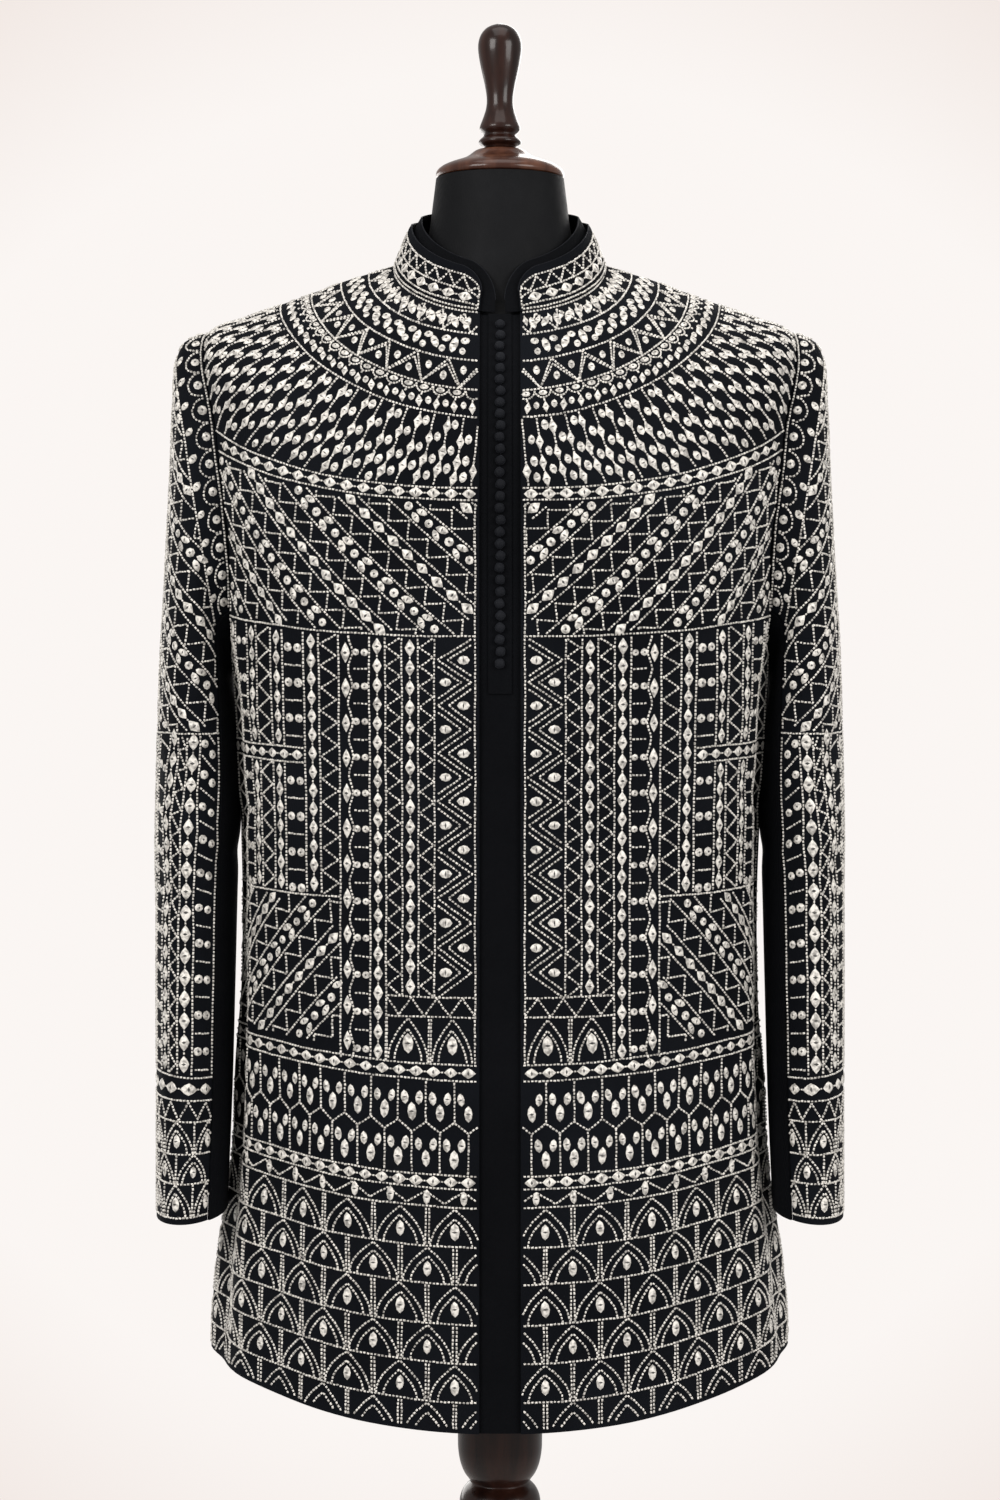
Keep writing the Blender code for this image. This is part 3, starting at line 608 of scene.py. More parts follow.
# Each large bead's outline, and half the length and half the width of its slit, as shares of its own
SHAPES = {
    "seed": seed_shape(),
    "lozenge": outline_shape(ring_outline(0.52, 0.60), (0.15, 0.46)),
    "drop": outline_shape(ring_outline(0.63, 0.72), (0.12, 0.64)),
    "taper": outline_shape(ring_outline(0.48, 0.52), (0.08, 0.46)),
    "round": outline_shape(ring_outline(0.707, 0.707), (0.30, 0.30)),
}


class Beadwork:
    """Beads laid on a surface, kept by shape as s, t, direction and size."""

    def __init__(self, field, seed):
        self.field = field
        self.random = np.random.default_rng(seed)
        self.laid = {name: [] for name in SHAPES}
        self.box = None

    def put(self, shape, s, t, ds, dt, length, width, rise):
        s, t, ds, dt, length, width, rise = np.broadcast_arrays(
            *[np.atleast_1d(np.asarray(v, float)) for v in (s, t, ds, dt, length, width, rise)])
        rows = np.column_stack([s, t, ds, dt, length, width, rise])
        if self.box:
            left, right, top, low = self.box
            rows = rows[(s > left) & (s < right) & (t > top) & (t < low)]
        self.laid[shape].append(rows)

    def walk(self, path, pitch):
        """Evenly spaced places along a path on the surface, with the path's direction there."""
        path = np.asarray(path, float)
        spans = np.abs(np.diff(path, axis=0)).max(axis=1)
        steps = np.maximum(np.ceil(spans / 0.0015), 1).astype(int)
        fine = [a + (b - a) * np.arange(n)[:, None] / n for a, b, n in zip(path, path[1:], steps)]
        fine = np.concatenate(fine + [path[-1:]])
        lengths = path_lengths(self.field.at(fine[:, 0], fine[:, 1]))
        count = max(1, round(lengths[-1] / pitch))
        wanted = (np.arange(count) + 0.5) * lengths[-1] / count
        found = np.column_stack([np.interp(wanted, lengths, fine[:, k]) for k in range(2)])
        reach = pitch * 0.3
        ahead = np.column_stack([np.interp(wanted + reach, lengths, fine[:, k]) for k in range(2)])
        behind = np.column_stack([np.interp(wanted - reach, lengths, fine[:, k]) for k in range(2)])
        return found, units(ahead - behind)

    def run(self, path, pitch=BEAD_PITCH, size=1.0):
        """A line of small beads."""
        places, way = self.walk(path, pitch)
        wander = self.random.normal(0, 0.00010, len(places))
        wander += 0.00022 * np.sin(np.arange(len(places)) * 0.23 + self.random.uniform(0, 6.3))
        side = np.column_stack([-way[:, 1], way[:, 0]])
        places = places + side * wander[:, None]
        way = way + side * self.random.normal(0, 0.10, (len(places), 1))
        grow = size * self.random.uniform(0.88, 1.10, len(places))
        self.put("seed", places[:, 0], places[:, 1], way[:, 0], way[:, 1],
                 BEAD[0] * grow, BEAD[1] * grow, BEAD[2] * size)

    def motif(self, shape, s, t, angle, length, width):
        """One large bead, its length at the angle in degrees from s towards t."""
        angle = math.radians(angle) + self.random.normal(0, 0.05)
        grow = self.random.uniform(0.93, 1.07)
        self.put(shape, s, t, math.cos(angle), math.sin(angle),
                 length / 2 * grow, width / 2 * grow, LEAF_RISE)

    def chain(self, path, pitch, length, width, spacer=True):
        """Lozenges in a row along a path, with a small bead between each two."""
        places, way = self.walk(path, pitch)
        grow = self.random.uniform(0.94, 1.06, len(places))
        self.put("lozenge", places[:, 0], places[:, 1], way[:, 0], way[:, 1],
                 length / 2 * grow, width / 2 * grow, LEAF_RISE)
        if spacer:
            between = (places[1:] + places[:-1]) / 2
            self.put("seed", between[:, 0], between[:, 1], way[1:, 0], way[1:, 1],
                     BEAD[0] * 0.8, BEAD[1] * 0.9, BEAD[2])

    def zigzag(self, path, depth, pitch):
        """A zigzag about a path. The depth is from side to side, and the pitch from peak to peak."""
        path = np.asarray(path, float)
        lengths = path_lengths(path)
        wanted = np.linspace(0, lengths[-1], max(3, round(lengths[-1] / pitch * 2)))
        places = np.column_stack([np.interp(wanted, lengths, path[:, k]) for k in range(2)])
        way = units(np.gradient(places, axis=0))
        side = np.column_stack([-way[:, 1], way[:, 0]])
        swing = np.where(np.arange(len(places)) % 2 == 0, 0.5, -0.5)
        self.run(places + side * (depth * swing)[:, None])

    def arrays(self, shape, keep):
        """Points, normals and ways of the beads to keep, which reach over_s and over_t each way."""
        if not self.laid[shape]:
            return None
        rows = np.concatenate(self.laid[shape])
        share = 0.2 if shape == "seed" else 0.85
        along, across = np.abs(rows[:, 2:4]), np.abs(rows[:, [3, 2]])
        over = (along * rows[:, 4:5] + across * rows[:, 5:6]) * share
        rows = rows[keep(rows[:, 0], rows[:, 1], over[:, 0], over[:, 1])]
        if not len(rows):
            return None
        s, t = rows[:, 0], rows[:, 1]
        field = self.field
        along_s, along_t = field.read(field.along_s, s, t), field.read(field.along_t, s, t)
        way = along_s * rows[:, 2:3] + along_t * rows[:, 3:4]
        normals = field.normal(s, t)
        way = units(way - normals * (way * normals).sum(axis=1, keepdims=True))
        return field.at(s, t), normals, way, rows[:, 4:7]


def bead_piece(name, works, flip):
    """All the beads of some works that lie on one panel. Works are pairs of beadwork and keep."""
    points, faces, slots, first = [], [], [], 0
    for work, keep in works:
        for shape, (model, triangles, model_slots) in SHAPES.items():
            found = work.arrays(shape, keep)
            if found is None:
                continue
            spots, normals, ways, sizes = found
            if flip:
                spots, normals, ways = mirrored(spots), mirrored(normals), mirrored(ways)
            sides = np.cross(normals, ways)
            made = (spots[:, None]
                    + ways[:, None] * (model[None, :, 0:1] * sizes[:, None, 0:1])
                    + sides[:, None] * (model[None, :, 1:2] * sizes[:, None, 1:2])
                    + normals[:, None] * (model[None, :, 2:3] * sizes[:, None, 2:3]))
            count, corners = made.shape[:2]
            starts = first + np.arange(count) * corners
            points.append(made.reshape(-1, 3))
            faces.append((triangles[None] + starts[:, None, None]).reshape(-1, 3))
            slots.append(np.tile(model_slots, count))
            first += count * corners
    mesh = mesh_of(name, np.concatenate(points), np.concatenate(faces), np.concatenate(slots))
    return new_object(name, mesh, [BEADS, SLITS])


# Finishes

def shader_of(name):
    material = bpy.data.materials.new(name)
    material.use_nodes = True
    return material, material.node_tree, material.node_tree.nodes["Principled BSDF"]


def node(tree, kind, **settings):
    made = tree.nodes.new(kind)
    for key, value in settings.items():
        if key in made.inputs:
            made.inputs[key].default_value = value
        else:
            setattr(made, key, value)
    return made


def object_place(tree):
    return tree.nodes.new("ShaderNodeTexCoord").outputs["Object"]


def noise(tree, place, scale, detail=2.0, roughness=0.5):
    made = node(tree, "ShaderNodeTexNoise", Scale=scale, Detail=detail, Roughness=roughness)
    tree.links.new(place, made.inputs["Vector"])
    return made.outputs["Fac"]


def ramp(tree, fac, low, high, at=(0.35, 0.65)):
    made = tree.nodes.new("ShaderNodeValToRGB")
    for element, colour, where in zip(made.color_ramp.elements, (low, high), at):
        element.color = (*colour, 1.0)
        element.position = where
    tree.links.new(fac, made.inputs["Fac"])
    return made.outputs["Color"]


def grade(tree, fac, low, high):
    made = node(tree, "ShaderNodeMapRange")
    made.inputs["To Min"].default_value = low
    made.inputs["To Max"].default_value = high
    tree.links.new(fac, made.inputs["Value"])
    return made.outputs["Result"]


def arithmetic(tree, kind, a, b):
    made = node(tree, "ShaderNodeMath", operation=kind)
    for socket, value in zip(made.inputs, (a, b)):
        if isinstance(value, (int, float)):
            socket.default_value = value
        else:
            tree.links.new(value, socket)
    return made.outputs[0]


def threads(tree, place, way, pitch):
    """Ridges of thread across a direction: 0 between two threads and 1 on a thread."""
    dot = node(tree, "ShaderNodeVectorMath", operation="DOT_PRODUCT")
    tree.links.new(place, dot.inputs[0])
    dot.inputs[1].default_value = Vector(way) * (2 * math.pi / pitch)
    wave = arithmetic(tree, "SINE", dot.outputs["Value"], 0.0)
    return arithmetic(tree, "MULTIPLY_ADD", wave, 0.5)


def bump(tree, shader, heights, strength, distance):
    made = node(tree, "ShaderNodeBump", Strength=strength, Distance=distance)
    tree.links.new(heights, made.inputs["Height"])
    tree.links.new(made.outputs["Normal"], shader.inputs["Normal"])


def cloth_finish(name, dark, light, pitch, roughness, sheen):
    material, tree, shader = shader_of(name)
    place = object_place(tree)
    cloudy = noise(tree, place, 9.0, 4.0)
    tree.links.new(ramp(tree, cloudy, dark, light), shader.inputs["Base Color"])
    warp = threads(tree, place, (0.94, 0.60, 0.0), pitch)
    weft = threads(tree, place, (0.0, 0.12, 1.0), pitch)
    weave = arithmetic(tree, "MULTIPLY", warp, weft)
    slub = noise(tree, place, 420.0, 2.0)
    height = arithmetic(tree, "ADD", weave, slub)
    bump(tree, shader, height, 0.55, 0.0004)
    grain = noise(tree, place, 160.0, 3.0)
    tree.links.new(grade(tree, grain, roughness - 0.08, roughness + 0.08), shader.inputs["Roughness"])
    shader.inputs["Sheen Weight"].default_value = sheen
    shader.inputs["Sheen Roughness"].default_value = 0.45
    shader.inputs["Sheen Tint"].default_value = (0.75, 0.80, 0.95, 1.0)
    shader.inputs["Specular IOR Level"].default_value = 0.06
    return material


def bead_finish():
    material, tree, shader = shader_of("beads")
    place = object_place(tree)
    each = noise(tree, place, 330.0, 1.0)
    tree.links.new(ramp(tree, each, (0.28, 0.265, 0.245), (0.78, 0.748, 0.695), (0.32, 0.60)),
                   shader.inputs["Base Color"])
    bump(tree, shader, noise(tree, place, 1400.0, 1.0), 0.35, 0.0003)
    tree.links.new(grade(tree, noise(tree, place, 500.0), 0.30, 0.60), shader.inputs["Roughness"])
    shader.inputs["Coat Weight"].default_value = 0.12
    shader.inputs["Coat Roughness"].default_value = 0.25
    return material


def slit_finish():
    material, tree, shader = shader_of("bead_thread")
    place = object_place(tree)
    tree.links.new(ramp(tree, noise(tree, place, 600.0), (0.020, 0.019, 0.018), (0.10, 0.095, 0.09)),
                   shader.inputs["Base Color"])
    bump(tree, shader, threads(tree, place, (1.0, 0.0, 1.0), 0.0006), 0.5, 0.0002)
    shader.inputs["Roughness"].default_value = 0.7
    return material


def wood_finish(name, dark, light, grain_scale, roughness, coat):
    material, tree, shader = shader_of(name)
    mapping = node(tree, "ShaderNodeMapping")
    mapping.inputs["Scale"].default_value = (1.0, 1.0, 0.10)
    tree.links.new(object_place(tree), mapping.inputs["Vector"])
    stretched = mapping.outputs["Vector"]
    grain = noise(tree, stretched, grain_scale, 6.0, 0.62)
    tree.links.new(ramp(tree, grain, dark, light, (0.38, 0.66)), shader.inputs["Base Color"])
    wear = noise(tree, stretched, grain_scale * 2)
    tree.links.new(grade(tree, wear, roughness - 0.05, roughness + 0.08), shader.inputs["Roughness"])
    bump(tree, shader, noise(tree, stretched, grain_scale * 3, 3.0), 0.10, 0.0003)
    shader.inputs["Coat Weight"].default_value = coat
    shader.inputs["Coat Roughness"].default_value = 0.10
    shader.inputs["Specular IOR Level"].default_value = 0.20
    return material


def jersey_finish():
    material, tree, shader = shader_of("form_cover")
    place = object_place(tree)
    cloudy = noise(tree, place, 14.0, 4.0)
    tree.links.new(ramp(tree, cloudy, (0.0030, 0.0032, 0.0038), (0.0060, 0.0064, 0.0075)),
                   shader.inputs["Base Color"])
    knit = arithmetic(tree, "MULTIPLY", threads(tree, place, (0.94, 0.60, 0.0), 0.0009),
                      threads(tree, place, (0.0, 0.1, 1.0), 0.0007))
    bump(tree, shader, arithmetic(tree, "ADD", knit, noise(tree, place, 500.0)), 0.4, 0.0003)
    tree.links.new(grade(tree, noise(tree, place, 120.0), 0.48, 0.66), shader.inputs["Roughness"])
    shader.inputs["Sheen Weight"].default_value = 0.02
    shader.inputs["Sheen Roughness"].default_value = 0.4
    shader.inputs["Specular IOR Level"].default_value = 0.09
    return material


WORKED = cloth_finish("worked_cloth", (0.0024, 0.0030, 0.0046), (0.0046, 0.0056, 0.0080),
                      0.0007, 0.80, 0.012)
PLAIN = cloth_finish("plain_cloth", (0.0014, 0.0017, 0.0025), (0.0026, 0.0030, 0.0042),
                     0.0006, 0.76, 0.006)
BUTTON = cloth_finish("button_thread", (0.0060, 0.0066, 0.0085), (0.0110, 0.0120, 0.0150),
                      0.0011, 0.50, 0.040)
BEADS = bead_finish()
SLITS = slit_finish()
JERSEY = jersey_finish()
DARK_WOOD = wood_finish("dark_wood", (0.009, 0.0032, 0.0022), (0.034, 0.0115, 0.0072), 60.0, 0.28, 0.28)
CAP_WOOD = wood_finish("cap_wood", (0.042, 0.014, 0.008), (0.125, 0.050, 0.028), 70.0, 0.30, 0.35)


# The jacket's cloth

LEFT_BODY = body_field(LEFT_CREASES)
RIGHT_BODY = body_field(RIGHT_CREASES)
SLEEVE_TURNS = (UNDER_SLEEVE_START - 0.0024, -UNDER_SLEEVE_START + 0.0024)
UNDER_TURNS = (2 * math.pi - UNDER_SLEEVE_START - 0.0024, UNDER_SLEEVE_START + 0.0024)
LEFT_SLEEVE_CREASES = [
    Crease(0.020, 0.235, 0.075, 0.215, 0.010, -0.0022),
    Crease(0.000, 0.262, 0.060, 0.275, 0.011, 0.0018),
    Crease(0.010, 0.300, 0.080, 0.285, 0.010, -0.0018),
    Crease(0.100, 0.150, 0.110, 0.300, 0.020, 0.0014),
    Crease(0.150, 0.230, 0.205, 0.262, 0.012, -0.0026),
    Crease(0.140, 0.290, 0.200, 0.300, 0.012, 0.0020),
    Crease(0.120, 0.360, 0.180, 0.345, 0.012, -0.0018),
]
RIGHT_SLEEVE_CREASES = [
    Crease(0.015, 0.225, 0.070, 0.208, 0.011, -0.0020),
    Crease(0.000, 0.255, 0.065, 0.262, 0.010, 0.0020),
    Crease(0.015, 0.318, 0.078, 0.300, 0.011, -0.0020),
    Crease(0.105, 0.160, 0.100, 0.310, 0.020, 0.0014),
    Crease(0.155, 0.240, 0.205, 0.270, 0.012, -0.0026),
    Crease(0.135, 0.300, 0.195, 0.318, 0.013, 0.0022),
]
UNDER_CREASES = [
    Crease(0.030, 0.180, 0.160, 0.200, 0.012, -0.0012),
    Crease(0.050, 0.260, 0.190, 0.250, 0.013, -0.0014),
]

# The right side is built as a left one and mirrored. The last four are seeds for small differences,
# and middle is how far short of centre back the side's beads stop.
Side = namedtuple("Side", "name flip body sleeve_creases middle "
                          "front_seed skirt_seed sleeve_seed cap_seed")
SIDES = (
    Side("left", False, LEFT_BODY, LEFT_SLEEVE_CREASES, -0.0003, 5, 53, 17, 37),
    Side("right", True, RIGHT_BODY, RIGHT_SLEEVE_CREASES, 0.0003, 11, 59, 23, 43),
)
COLLAR_SEED = 31
FINE_LEVELS = cloth_levels(28, 46, 96)


def row_arcs(starts, ends, columns):
    share = np.linspace(0, 1, columns + 1)
    starts, ends = (read_edge(edge, FINE_LEVELS)[:, None] for edge in (starts, ends))
    return starts + (ends - starts) * share


def body_panel(name, field, arcs, flip):
    t = np.repeat(FINE_LEVELS[:, None], arcs.shape[1], axis=1)
    grids = field_grids(field, arcs, t, (0.0, CLOTH))
    return shell(name, *grids, [WORKED, PLAIN], flip)


def back_panel():
    """The back in one piece, its two halves meeting at centre back."""
    arcs = row_arcs(BACK_STARTS, WHOLE_ARCS, 34)
    t = np.repeat(FINE_LEVELS[:, None], arcs.shape[1], axis=1)
    grids = []
    for depth in (0.0, CLOTH):
        left, right = (field.at(arcs, t) - field.normal(arcs, t) * depth
                       for field in (LEFT_BODY, RIGHT_BODY))
        middle = (left[:, -1:] + mirrored(right[:, -1:])) / 2
        middle[..., 0] = 0.0
        grids.append(np.concatenate([left[:, :-1], middle, mirrored(right[:, -2::-1])], axis=1))
    return shell("jacket_back", *grids, [WORKED, PLAIN])


def centre_strip(name, half_width, outer_depth, inner_depth, last_level, columns=12):
    """A plain strip down the middle of the front, under the fronts' edges."""
    levels = FINE_LEVELS[FINE_LEVELS < last_level - 0.001]
    levels = np.concatenate([levels, [last_level]])
    s, t = np.meshgrid(np.linspace(-half_width, half_width, columns + 1), levels)
    across, down = np.linspace(-0.040, 0.040, 41), np.linspace(0, HEM, 340)
    flat = Field(across, down, np.array([BODY.at(level, across) for level in down]))
    return shell(name, *field_grids(flat, s, t, (outer_depth, inner_depth)), [PLAIN, PLAIN])


def collar_rows(collar, depth, arcs_per_side, rows):
    """A standing band along the neck seam, with its two front corners rounded."""
    start = BODY.arc_at_x(NECK, collar.front_gap / 2)
    whole = BODY.whole_arc(NECK)
    corner = start + collar.corner * np.linspace(0, 1, 16) ** 1.8
    arcs = np.concatenate([corner[:-1], np.linspace(corner[-1], whole, arcs_per_side)])
    ups = np.linspace(0, 1, rows + 1)
    sides = np.array([collar_points(collar, depth, arcs, up) for up in ups])
    return np.concatenate([sides, mirrored(sides[:, -2::-1])], axis=1)


def collar_points(collar, depth, arcs, ups):
    start = BODY.arc_at_x(NECK, collar.front_gap / 2)
    base = BODY.at(NECK, arcs)
    middle = np.array([0.0, COLLAR_CENTRE_Y])
    reach = base[:, :2] - middle
    radius = np.linalg.norm(reach, axis=1, keepdims=True)
    near = 1 - np.clip((arcs - start) / collar.corner, 0, 1)
    corner = collar.corner_height + (1 - collar.corner_height) * np.sqrt(1 - near ** 2)
    behind = np.clip(base[:, 1] / COLLAR_BACK_Y, 0, 1)
    top_lean = collar.front_lean + (collar.back_lean - collar.front_lean) * behind
    beside = np.abs(base[:, 0]) / BODY_RINGS[0].side_x
    up = corner * ups * (1 - 0.07 * beside ** 6)
    lean = 1 - ((1 - top_lean) * up)[:, None]
    flat = middle + reach * (lean - (collar.inset + depth) / radius)
    return np.column_stack([flat, base[:, 2] + 2 * SEAM_GAP + collar.height * up])


def collar_field(collar):
    """The left half of a collar, t being the share of its height times that height."""
    s = np.linspace(BODY.arc_at_x(NECK, collar.front_gap / 2), BODY.whole_arc(NECK) + 0.004, 131)
    t = np.linspace(0.0, collar.height, 12)
    points = np.array([collar_points(collar, 0.0, s, up / collar.height) for up in t])
    field = Field(s, t, points)
    field.normals = -field.normals
    return field


def piping_piece(name, line):
    """A fine round piping along a line of points, sewn down all the way."""
    ways = units(np.gradient(line, axis=0))
    across = units(np.cross(ways, [0.0, 0.0, 1.0]))
    up = np.cross(across, ways)
    angle = np.linspace(0, 2 * math.pi, PIPING_SIDES, endpoint=False)
    rings = (line[:, None] + PIPING_RADIUS * (across[:, None] * np.cos(angle)[None, :, None]
                                              + up[:, None] * np.sin(angle)[None, :, None]))
    first, last = (np.repeat(end[:, None], PIPING_SIDES, axis=1) for end in (line[:1], line[-1:]))
    return ring_piece(name, np.concatenate([first, rings, last]), [BUTTON], 70)


def buttons_piece():
    """The whole row of covered ball buttons."""
    raised = CLOTH + LAYER_GAP - 2 * SEAM_GAP - PLACKET_THICKNESS
    rings, sides = 7, 16
    points, faces = [], []
    rise = np.concatenate([[-0.10], np.sin(np.linspace(0.0, math.pi / 2, rings))])
    spread = np.concatenate([[0.80], np.cos(np.linspace(-0.42, math.pi / 2, rings))])
    spread[-1] = 0.0
    heights = np.linspace(BUTTON_TOP_HEIGHT, BUTTON_LOW_HEIGHT, BUTTON_COUNT)
    for number, height in enumerate(heights):
        level = BODY.level_at_front_height(height)
        spot = BODY.at(level, np.array([0.0]))[0]
        above, below = (BODY.at(level + k, np.array([0.0]))[0] for k in (-0.002, 0.002))
        down = units(below - above)
        outward = units(np.cross(down, [1.0, 0.0, 0.0]))
        lean = 0.0004 * math.sin(2.3 * number)
        for r in range(rings + 1):
            for k in range(sides):
                angle = 2 * math.pi * k / sides
                knot = 1 + 0.045 * math.cos(4 * angle + number) * (r > 1)
                across = np.array([1.0, 0.0, 0.0]) * math.cos(angle) + down * math.sin(angle)
                point = (spot - outward * raised + across * BUTTON_WIDTH / 2 * spread[r] * knot
                         + outward * BUTTON_RISE * rise[r] + np.array([lean, 0, 0]))
                points.append(point)
        first = number * (rings + 1) * sides
        for r in range(rings):
            for k in range(sides):
                m = (k + 1) % sides
                a, b = first + r * sides, first + (r + 1) * sides
                faces.append((a + m, a + k, b + k, b + m))
    mesh = mesh_of("buttons", np.array(points), np.array(faces))
    return new_object("ball_buttons", mesh, [BUTTON])


# The form and its stand

def side_and_back(seam, whole, columns):
    """Places from centre front to the side and on to centre back, the same number in each."""
    behind = np.linspace(seam, whole, columns + 1)[1:]
    return np.concatenate([np.linspace(0, seam, columns + 1), behind])


def form_ring(level, columns):
    seam = BODY.side_arc(level)
    whole = BODY.whole_arc(level)
    arcs = side_and_back(seam, whole, columns)
    reach = np.where(arcs < seam, seam, whole - seam)
    share = eased(np.abs(arcs - seam) / reach)
    knots = [BODY.levels[ease.ring] + ease.below for ease in FORM_EASES]
    at_seam = np.interp(level, knots, [ease.seam for ease in FORM_EASES])
    at_centre = np.interp(level, knots, [ease.centre for ease in FORM_EASES])
    depth = CLOTH + at_seam + (at_centre - at_seam) * share
    step = 0.0015
    ahead = BODY.at(level, arcs + step) - BODY.at(level, arcs - step)
    below = BODY.at(level + step, arcs) - BODY.at(level - step, arcs)
    return BODY.at(level, arcs) - units(np.cross(below, ahead)) * depth[:, None]


def form_neck_ring(values, columns):
    points = half_ring_points(values)
    lengths = path_lengths(points)
    side = np.interp(0.0, points[:, 1], lengths)
    arcs = side_and_back(side, lengths[-1], columns)
    return np.column_stack([np.interp(arcs, lengths, points[:, k]) for k in range(3)])


def form_piece():
    columns = 26
    neck_values = np.array([ring[1:] for ring in FORM_NECK])
    knots = path_lengths(neck_values[:, [2, 3]])
    halves = [form_neck_ring(smooth_rows(knots, neck_values, at)[0], columns)
              for at in np.linspace(0, knots[-1], 30)]
    for level in cloth_levels(20, 26, 40):
        half = form_ring(level, columns)
        if half[:, 2].min() > FORM_FOOT_HEIGHT + 0.01:
            halves.append(half)
    foot = form_ring(BODY.level_at_front_height(FORM_FOOT_HEIGHT), columns)
    foot[:, 2] = FORM_FOOT_HEIGHT
    halves.append(foot)
    rings = []
    for half in halves:
        half[[0, -1], 0] = 0.0
        rings.append(np.concatenate([half, mirrored(half[-2:0:-1])]))
    rings = np.array(rings)
    closed = [np.repeat(rings[k].mean(axis=0)[None], rings.shape[1], axis=0) for k in (0, -1)]
    closed[0][:, 2], closed[1][:, 2] = rings[0, :, 2].mean(), FORM_FOOT_HEIGHT
    rings = np.concatenate([closed[:1], rings, closed[1:]])
    return ring_piece("form", rings, [JERSEY], 35)


def ring_piece(name, rings, materials, sharp):
    """A closed body from rings of points, the first and last drawn together on one point."""
    count, sides = rings.shape[:2]
    faces = []
    k = np.arange(sides)
    n = (k + 1) % sides
    for r in range(count - 1):
        here, below = r * sides, (r + 1) * sides
        faces.append(np.column_stack([here + k, below + k, below + n, here + n]))
    mesh = mesh_of(name, rings.reshape(-1, 3), np.concatenate(faces))
    weld(mesh)
    mesh.shade_smooth()
    mesh.set_sharp_from_angle(angle=math.radians(sharp))
    return new_object(name, mesh, materials)


def weld(mesh):
    shape = bmesh.new()
    shape.from_mesh(mesh)
    bmesh.ops.remove_doubles(shape, verts=shape.verts, dist=1e-6)
    bmesh.ops.dissolve_degenerate(shape, dist=1e-7, edges=shape.edges)
    bmesh.ops.recalc_face_normals(shape, faces=shape.faces)
    shape.to_mesh(mesh)
    shape.free()


def turned_piece(name, profile, material):
    """A turned solid whose profile is worked round by cutting its corners twice."""
    line = np.array(profile, float)
    for _ in range(2):
        cut = [line[:1]]
        for a, b in zip(line, line[1:]):
            cut.append(np.array([a * 0.75 + b * 0.25, a * 0.25 + b * 0.75]))
        line = np.concatenate(cut + [line[-1:]])
    angle = np.linspace(0, 2 * math.pi, TURNED_SIDES, endpoint=False)
    rings = np.array([[(radius * math.cos(a), radius * math.sin(a), height) for a in angle]
                      for radius, height in line])
    return ring_piece(name, rings, [material], 60)


# Layout of the beadwork on the body

YOKE_CENTRE = (0.0012, 0.0293, 0.0586, 0.0879, 0.1117)
YOKE_SIDE = (0.0008, 0.0177, 0.0364, 0.0570, 0.0790)
YOKE_BACK = (0.0010, 0.0200, 0.0410, 0.0630, 0.0860)
CHEST_BAND = (0.1835, 0.1955)
WAIST_BAND = (0.4010, 0.4120)
ARCH_ROWS = (0.7252, 0.7527, 0.7784, 0.8058, 0.8315, 0.8571, 0.8840)
ARCH_PITCH = 0.0400
HONEY_PITCH = 0.0206
LADDER_PITCH = 0.0265
WEDGE_PITCH = 0.0270
WEDGE_LEVEL = 0.7190
LOWER_BANDS = ((0.6263, 0.6373), (0.7033, 0.7124))
COLUMNS_TOP = 0.3130
COLUMNS_LOW = 0.6255
INNER_COLUMNS_LOW = 0.5785
SIDE_COLUMNS_LOW = 0.5080
VINE_EDGES = (0.0205, 0.0452)
STRAP_PERIOD = 0.0590
STRAPS = (("band", 0.0), ("zigzag", 0.0145), ("line", 0.0222), ("drops", 0.0295), ("line", 0.0368),
          ("zigzag", 0.0445))
STRINGS = 54
STRING_SLANT = 1.30
STRING_PITCH = 0.0212
NECK_DROPS = 32
TALL_DROPS = 51
TRIANGLE_PEAKS = 35
SCALLOPS = 41
SCALLOP_HALF_SHARE = 0.0242
LEAN = 15

# Chains by pitch, and by length and width of their lozenges
COLUMN_CHAIN = (0.0142, 0.0126, 0.0074)
SLEEVE_CHAIN = (0.0158, 0.0140, 0.0084)

# Large beads on the body, by length and width
NECK_DROP, NECK_TAPER = (0.0146, 0.0058), (0.0120, 0.0044)
PAIR_ROUND, PAIR_DROP, TALL_DROP = (0.0072, 0.0068), (0.0076, 0.0054), (0.0142, 0.0063)
TRIANGLE_DROP = (0.0082, 0.0052)
SCALLOP_ROUND, STEM_TAPER, STEM_DROP = (0.0070, 0.0046), (0.0104, 0.0054), (0.0066, 0.0048)
STRING_TAPER, STRING_DROP = (0.0136, 0.0064), (0.0084, 0.0057)
STRAP_ROUND, STRAP_DROP = (0.0070, 0.0070), (0.0098, 0.0054)
HONEY_LOWER, HONEY_UPPER = (0.0134, 0.0066), (0.0100, 0.0057)
WEDGE_DROP, VINE_DROP = (0.0112, 0.0056), (0.0098, 0.0070)


def yoke_level(ring, share):
    """Level of a yoke ring or between two, where share is 0 in front, 1 at the side and 2 behind."""
    front, side, back = (np.interp(ring, range(5), levels)
                         for levels in (YOKE_CENTRE, YOKE_SIDE, YOKE_BACK))
    return front + (side - front) * eased(share) + (back - side) * eased(share - 1)


def yoke_place(ring, share):
    """Place on a yoke ring."""
    ring, share = np.broadcast_arrays(np.asarray(ring, float), np.asarray(share, float))
    t = yoke_level(ring, share)
    return np.column_stack([share_arc(share, t).ravel(), t.ravel()])


def share_arc(share, t):
    side, whole = read_edge(SIDE_ARCS, t), read_edge(WHOLE_ARCS, t)
    return np.where(share <= 1, share * side, side + (share - 1) * (whole - side))


def shares(count):
    """Shares of a count of equal bays from centre front to centre back, at the middle of each."""
    return (np.arange(count) + 0.5) * 2 / count


